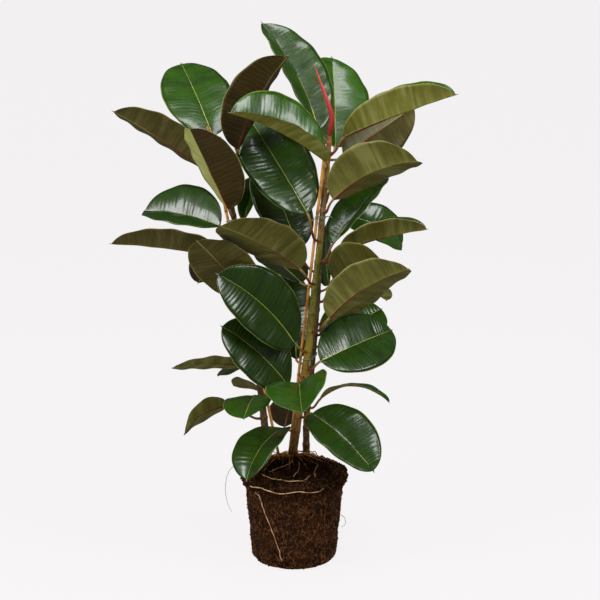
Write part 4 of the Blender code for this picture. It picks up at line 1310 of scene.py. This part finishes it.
    def net(self, ball: Object) -> Mesh:
        """Fine roots that wander over the ball, as they grew against the pot."""
        sizes = {"Root Radius": self.net_root_radius, "Root Length": self.net_root_length,
                 "Density": self.net_roots_per_square_metre, "Seed": 4}
        grown = GrowthTree("fine roots", sizes)
        tree, given = grown.tree, grown.given
        loose = grown.add("InputNamedAttribute", {"Name": "crumble"}, data_type="FLOAT").outputs[0]
        firm = sum_of(tree, "MULTIPLY", sum_of(tree, "SUBTRACT", 1.15, loose, clamp=True), given["Density"])
        spread = grown.scatter(firm, given["Seed"])
        line = grown.add("CurvePrimitiveLine", {"Start": (-0.5, 0.0, 0.0), "End": (0.5, 0.0, 0.0)}).outputs[0]
        local = add(tree, "ShaderNodeCombineXYZ", {2: random_of(tree, 0.0, 2 * math.pi, 9)}).outputs[0]
        turns = {0: spread["Rotation"], 1: local}
        turn = add(tree, "FunctionNodeRotateRotation", turns, rotation_space="LOCAL").outputs[0]
        reach = sum_of(tree, "MULTIPLY", random_of(tree, 0.25, 1.0, 2), given["Root Length"])
        placed = grown.instances(spread["Points"], line, turn, reach)
        curves = grown.add("RealizeInstances", {0: placed}).outputs[0]
        curves = grown.add("ResampleCurve", {"Curve": curves, "Count": 14}, mode="COUNT").outputs[0]
        for scale, depth in ((28.0, 0.034), (110.0, 0.008)):
            curves = grown.shake(curves, scale, depth)
        near = grown.add("Proximity", {0: given["Geometry"]}, target_element="FACES").outputs[0]
        curves = grown.add("SetPosition", {"Geometry": curves, "Position": near}).outputs[0]
        run = grown.add("SplineParameter").outputs["Factor"]
        taper = sum_of(tree, "MULTIPLY_ADD", run, -0.7, 1.0)
        curves = grown.add("SetCurveRadius", {"Curve": curves, "Radius": taper}).outputs[0]
        profile = grown.add("CurvePrimitiveCircle", {"Resolution": 4, "Radius": given["Root Radius"]}).outputs[0]
        body = grown.add("CurveToMesh", {"Curve": curves, "Profile Curve": profile, "Fill Caps": True})
        if "Scale" in body.inputs:
            tree.links.new(taper, body.inputs["Scale"])
        grown.finish(body.outputs[0], self.root_skin("fine root skin", "#2a1405", "#9d6430"))
        return grown.run(ball, "fine_roots")

    def surface_roots(self) -> None:
        """The thicker roots that lie on the ball, in place of their CAD solids."""
        skin = self.root_skin("pale root skin", "#a8743a", "#e3c090")
        for name, way in ROOTS:
            rows = through([Vector((*row, 0.0)) for row in way], 60)
            line = []
            for row in rows:
                lift = self.top_lift - self.side_sink * min(1.0, max(0.0, (row.y - 1.12) / 0.12))
                spot = on_ball(row.x, row.y, lift)
                line.append(spot + wiggle(spot, 0.012, 0.0016) + wiggle(spot, 0.004, 0.0004))
            share = np.linspace(0, 1, len(line))
            rough = [0.9 + 0.25 * noise.noise(spot * 300) for spot in line]
            radii = (self.surface_root_radius * (1 - 0.5 * share) * np.array(rough))[:, None] * np.ones((1, 10))
            place_piece(f"{name}_skin", tube_mesh(name, line, radii, skin), "root", name)

    def crown(self) -> Mesh:
        """Orange roots that leave the stems' feet and dive into the soil towards the rim."""
        tubes = []
        feet = [smooth_point(stem.way, 0.0) for stem in STEMS.values()]
        for number in range(self.crown_roots):
            foot = feet[number % 3 if number % 5 == 0 else 0]
            bearing = math.radians(GOLDEN_ANGLE * number + 200)
            reach = self.crown_reach + self.crown_spread * (noise.noise(Vector((number * 3.7, 0, 0))) + 0.5)
            line = []
            for step in range(self.crown_steps + 1):
                t = step / self.crown_steps
                turn = bearing + 0.9 * t * noise.noise(Vector((number * 1.9, 5, 0)))
                spot = foot + Vector((math.cos(turn), math.sin(turn), 0)) * (0.006 + reach * t)
                limit = BALL_TOP_RADIUS * 0.97 / max(math.hypot(spot.x, spot.y), BALL_TOP_RADIUS * 0.97)
                spot = Vector((spot.x * limit, spot.y * limit, 0))
                dive = 0.0064 * math.sin(math.pi * min(1.0, t * 1.1)) ** 0.5 - 0.004 * t**3 + 0.003 * (1 - t) ** 2
                spot.z = soil_height(spot.x, spot.y) + dive
                line.append(spot + wiggle(spot, 0.009, 0.0022))
            thick = self.crown_radius + self.crown_radius_spread * (noise.noise(Vector((number * 2.3, 1, 0))) + 0.5)
            tubes.append((line, thick * (1 - 0.6 * np.linspace(0, 1, len(line)))))
        return bundle("crown_roots", tubes, self.root_skin("orange root skin", "#844a14", "#cf9040"))

    def hair_roots(self) -> Mesh:
        """Two hair roots that have sprung clear of the ball's left side."""
        ways = (
            ((-0.088, -0.03, 0.174), (-0.111, -0.032, 0.190), (-0.125, -0.034, 0.173), (-0.129, -0.034, 0.144),
             (-0.125, -0.033, 0.117), (-0.117, -0.032, 0.098)),
            ((0.088, -0.035, 0.095), (0.0955, -0.036, 0.088), (0.0958, -0.036, 0.076), (0.089, -0.035, 0.070)),
        )
        radii = self.hair_root_radius * (1 - 0.5 * np.linspace(0, 1, self.hair_steps + 1))
        tubes = [(through([Vector(spot) for spot in way], self.hair_steps), radii) for way in ways]
        return bundle("hair_roots", tubes, self.root_skin("dry hair root skin", "#6f6a55", "#a09a80"))

    def make(self) -> None:
        """Builds the ball, its crumbs and all its roots in place of their CAD solids."""
        ball = place_piece("root_ball_soil", self.body(), "soil", "root_ball")
        place_piece("root_ball_crumbs", self.crumbs(ball), "soil")
        place_piece("root_ball_fine_roots", self.net(ball), "root")
        self.surface_roots()
        place_piece("crown_roots", self.crown(), "root")
        place_piece("hair_roots", self.hair_roots(), "root")


# --- Studio ----------------------------------------------------------------------------------------------------------


@dataclass
class Studio:
    """A pale floor that curves up into a backdrop, soft boxes and the camera."""

    camera_place: tuple = (0.011, -3.0, 1.2)
    camera_pitch: float = 76.9
    lens: float = 100.0
    floor_half: float = 6.0
    paper: str = "#f3f1f2"
    glow: float = 0.975  # evens out the paper's light, as lamps behind it would
    tint: str = "#2a292a"
    fill: float = 0.09  # how bright the world is

    def floor(self) -> None:
        """One sheet of matt paper: level floor, a round bend and a wall far behind the plant."""
        finish = Finish("matt backdrop paper", 0.95, Emission_Strength=self.glow)
        finish.shader.inputs["Base Color"].default_value = linear(self.tint)
        finish.shader.inputs["Emission Color"].default_value = linear(self.paper)
        bend = [(3.0 + 2.0 * math.sin(a), 2.0 - 2.0 * math.cos(a)) for a in np.linspace(0, math.pi / 2, 24)]
        profile = [(-self.floor_half, 0.0), *bend, (5.0, 6.0)]
        points = [(x, y, z) for y, z in profile for x in (-self.floor_half, self.floor_half)]
        faces = [(2 * k, 2 * k + 1, 2 * k + 3, 2 * k + 2) for k in range(len(profile) - 1)]
        data = mesh_of("backdrop", np.array(points), faces, [finish.material])
        made = new_object("backdrop", data)
        made.visible_glossy = False

    def soft_box(self, name: str, place: tuple, aim: tuple, size: tuple, power: float) -> None:
        """One rectangular soft box that faces a point."""
        light = bpy.data.lights.new(name, "AREA")
        light.shape = "RECTANGLE"
        light.size, light.size_y = size
        light.energy = power
        made = new_object(name, light)
        made.location = place
        made.rotation_euler = (Vector(aim) - Vector(place)).to_track_quat("-Z", "Y").to_euler()

    def set_up(self) -> None:
        """Builds the whole studio."""
        self.floor()
        middle = (0.0, 0.0, 0.55)
        self.soft_box("left soft box", (-1.7, -1.1, 1.75), middle, (0.75, 1.4), 50.0)
        self.soft_box("top soft box", (0.1, -0.3, 2.4), middle, (1.3, 0.5), 22.0)
        self.soft_box("right soft box", (1.7, -1.0, 1.8), middle, (0.6, 1.1), 32.0)
        self.soft_box("front soft box", (0.55, -1.9, 2.4), middle, (0.8, 0.5), 20.0)
        world = bpy.data.worlds.new("studio")
        world.use_nodes = True
        world.node_tree.nodes["Background"].inputs["Color"].default_value = linear(self.paper)
        world.node_tree.nodes["Background"].inputs["Strength"].default_value = self.fill
        bpy.context.scene.world = world
        lens = bpy.data.cameras.new("camera")
        lens.lens = self.lens
        camera = new_object("camera", lens)
        camera.location = self.camera_place
        camera.rotation_euler = (math.radians(self.camera_pitch), 0.0, 0.0)
        bpy.context.scene.camera = camera
        bpy.context.scene.view_settings.view_transform = "Standard"


def main() -> None:
    """Loads the frame, builds every part of the plant in order and sets up the studio."""
    logging.basicConfig(level=logging.INFO, format="%(name)s: %(message)s")
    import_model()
    Studio().set_up()
    for part in (RootBall(), Stems(), Canes(), Ties(), BudSheath(), Foliage()):
        part.make()


if __name__ == "__main__":
    main()
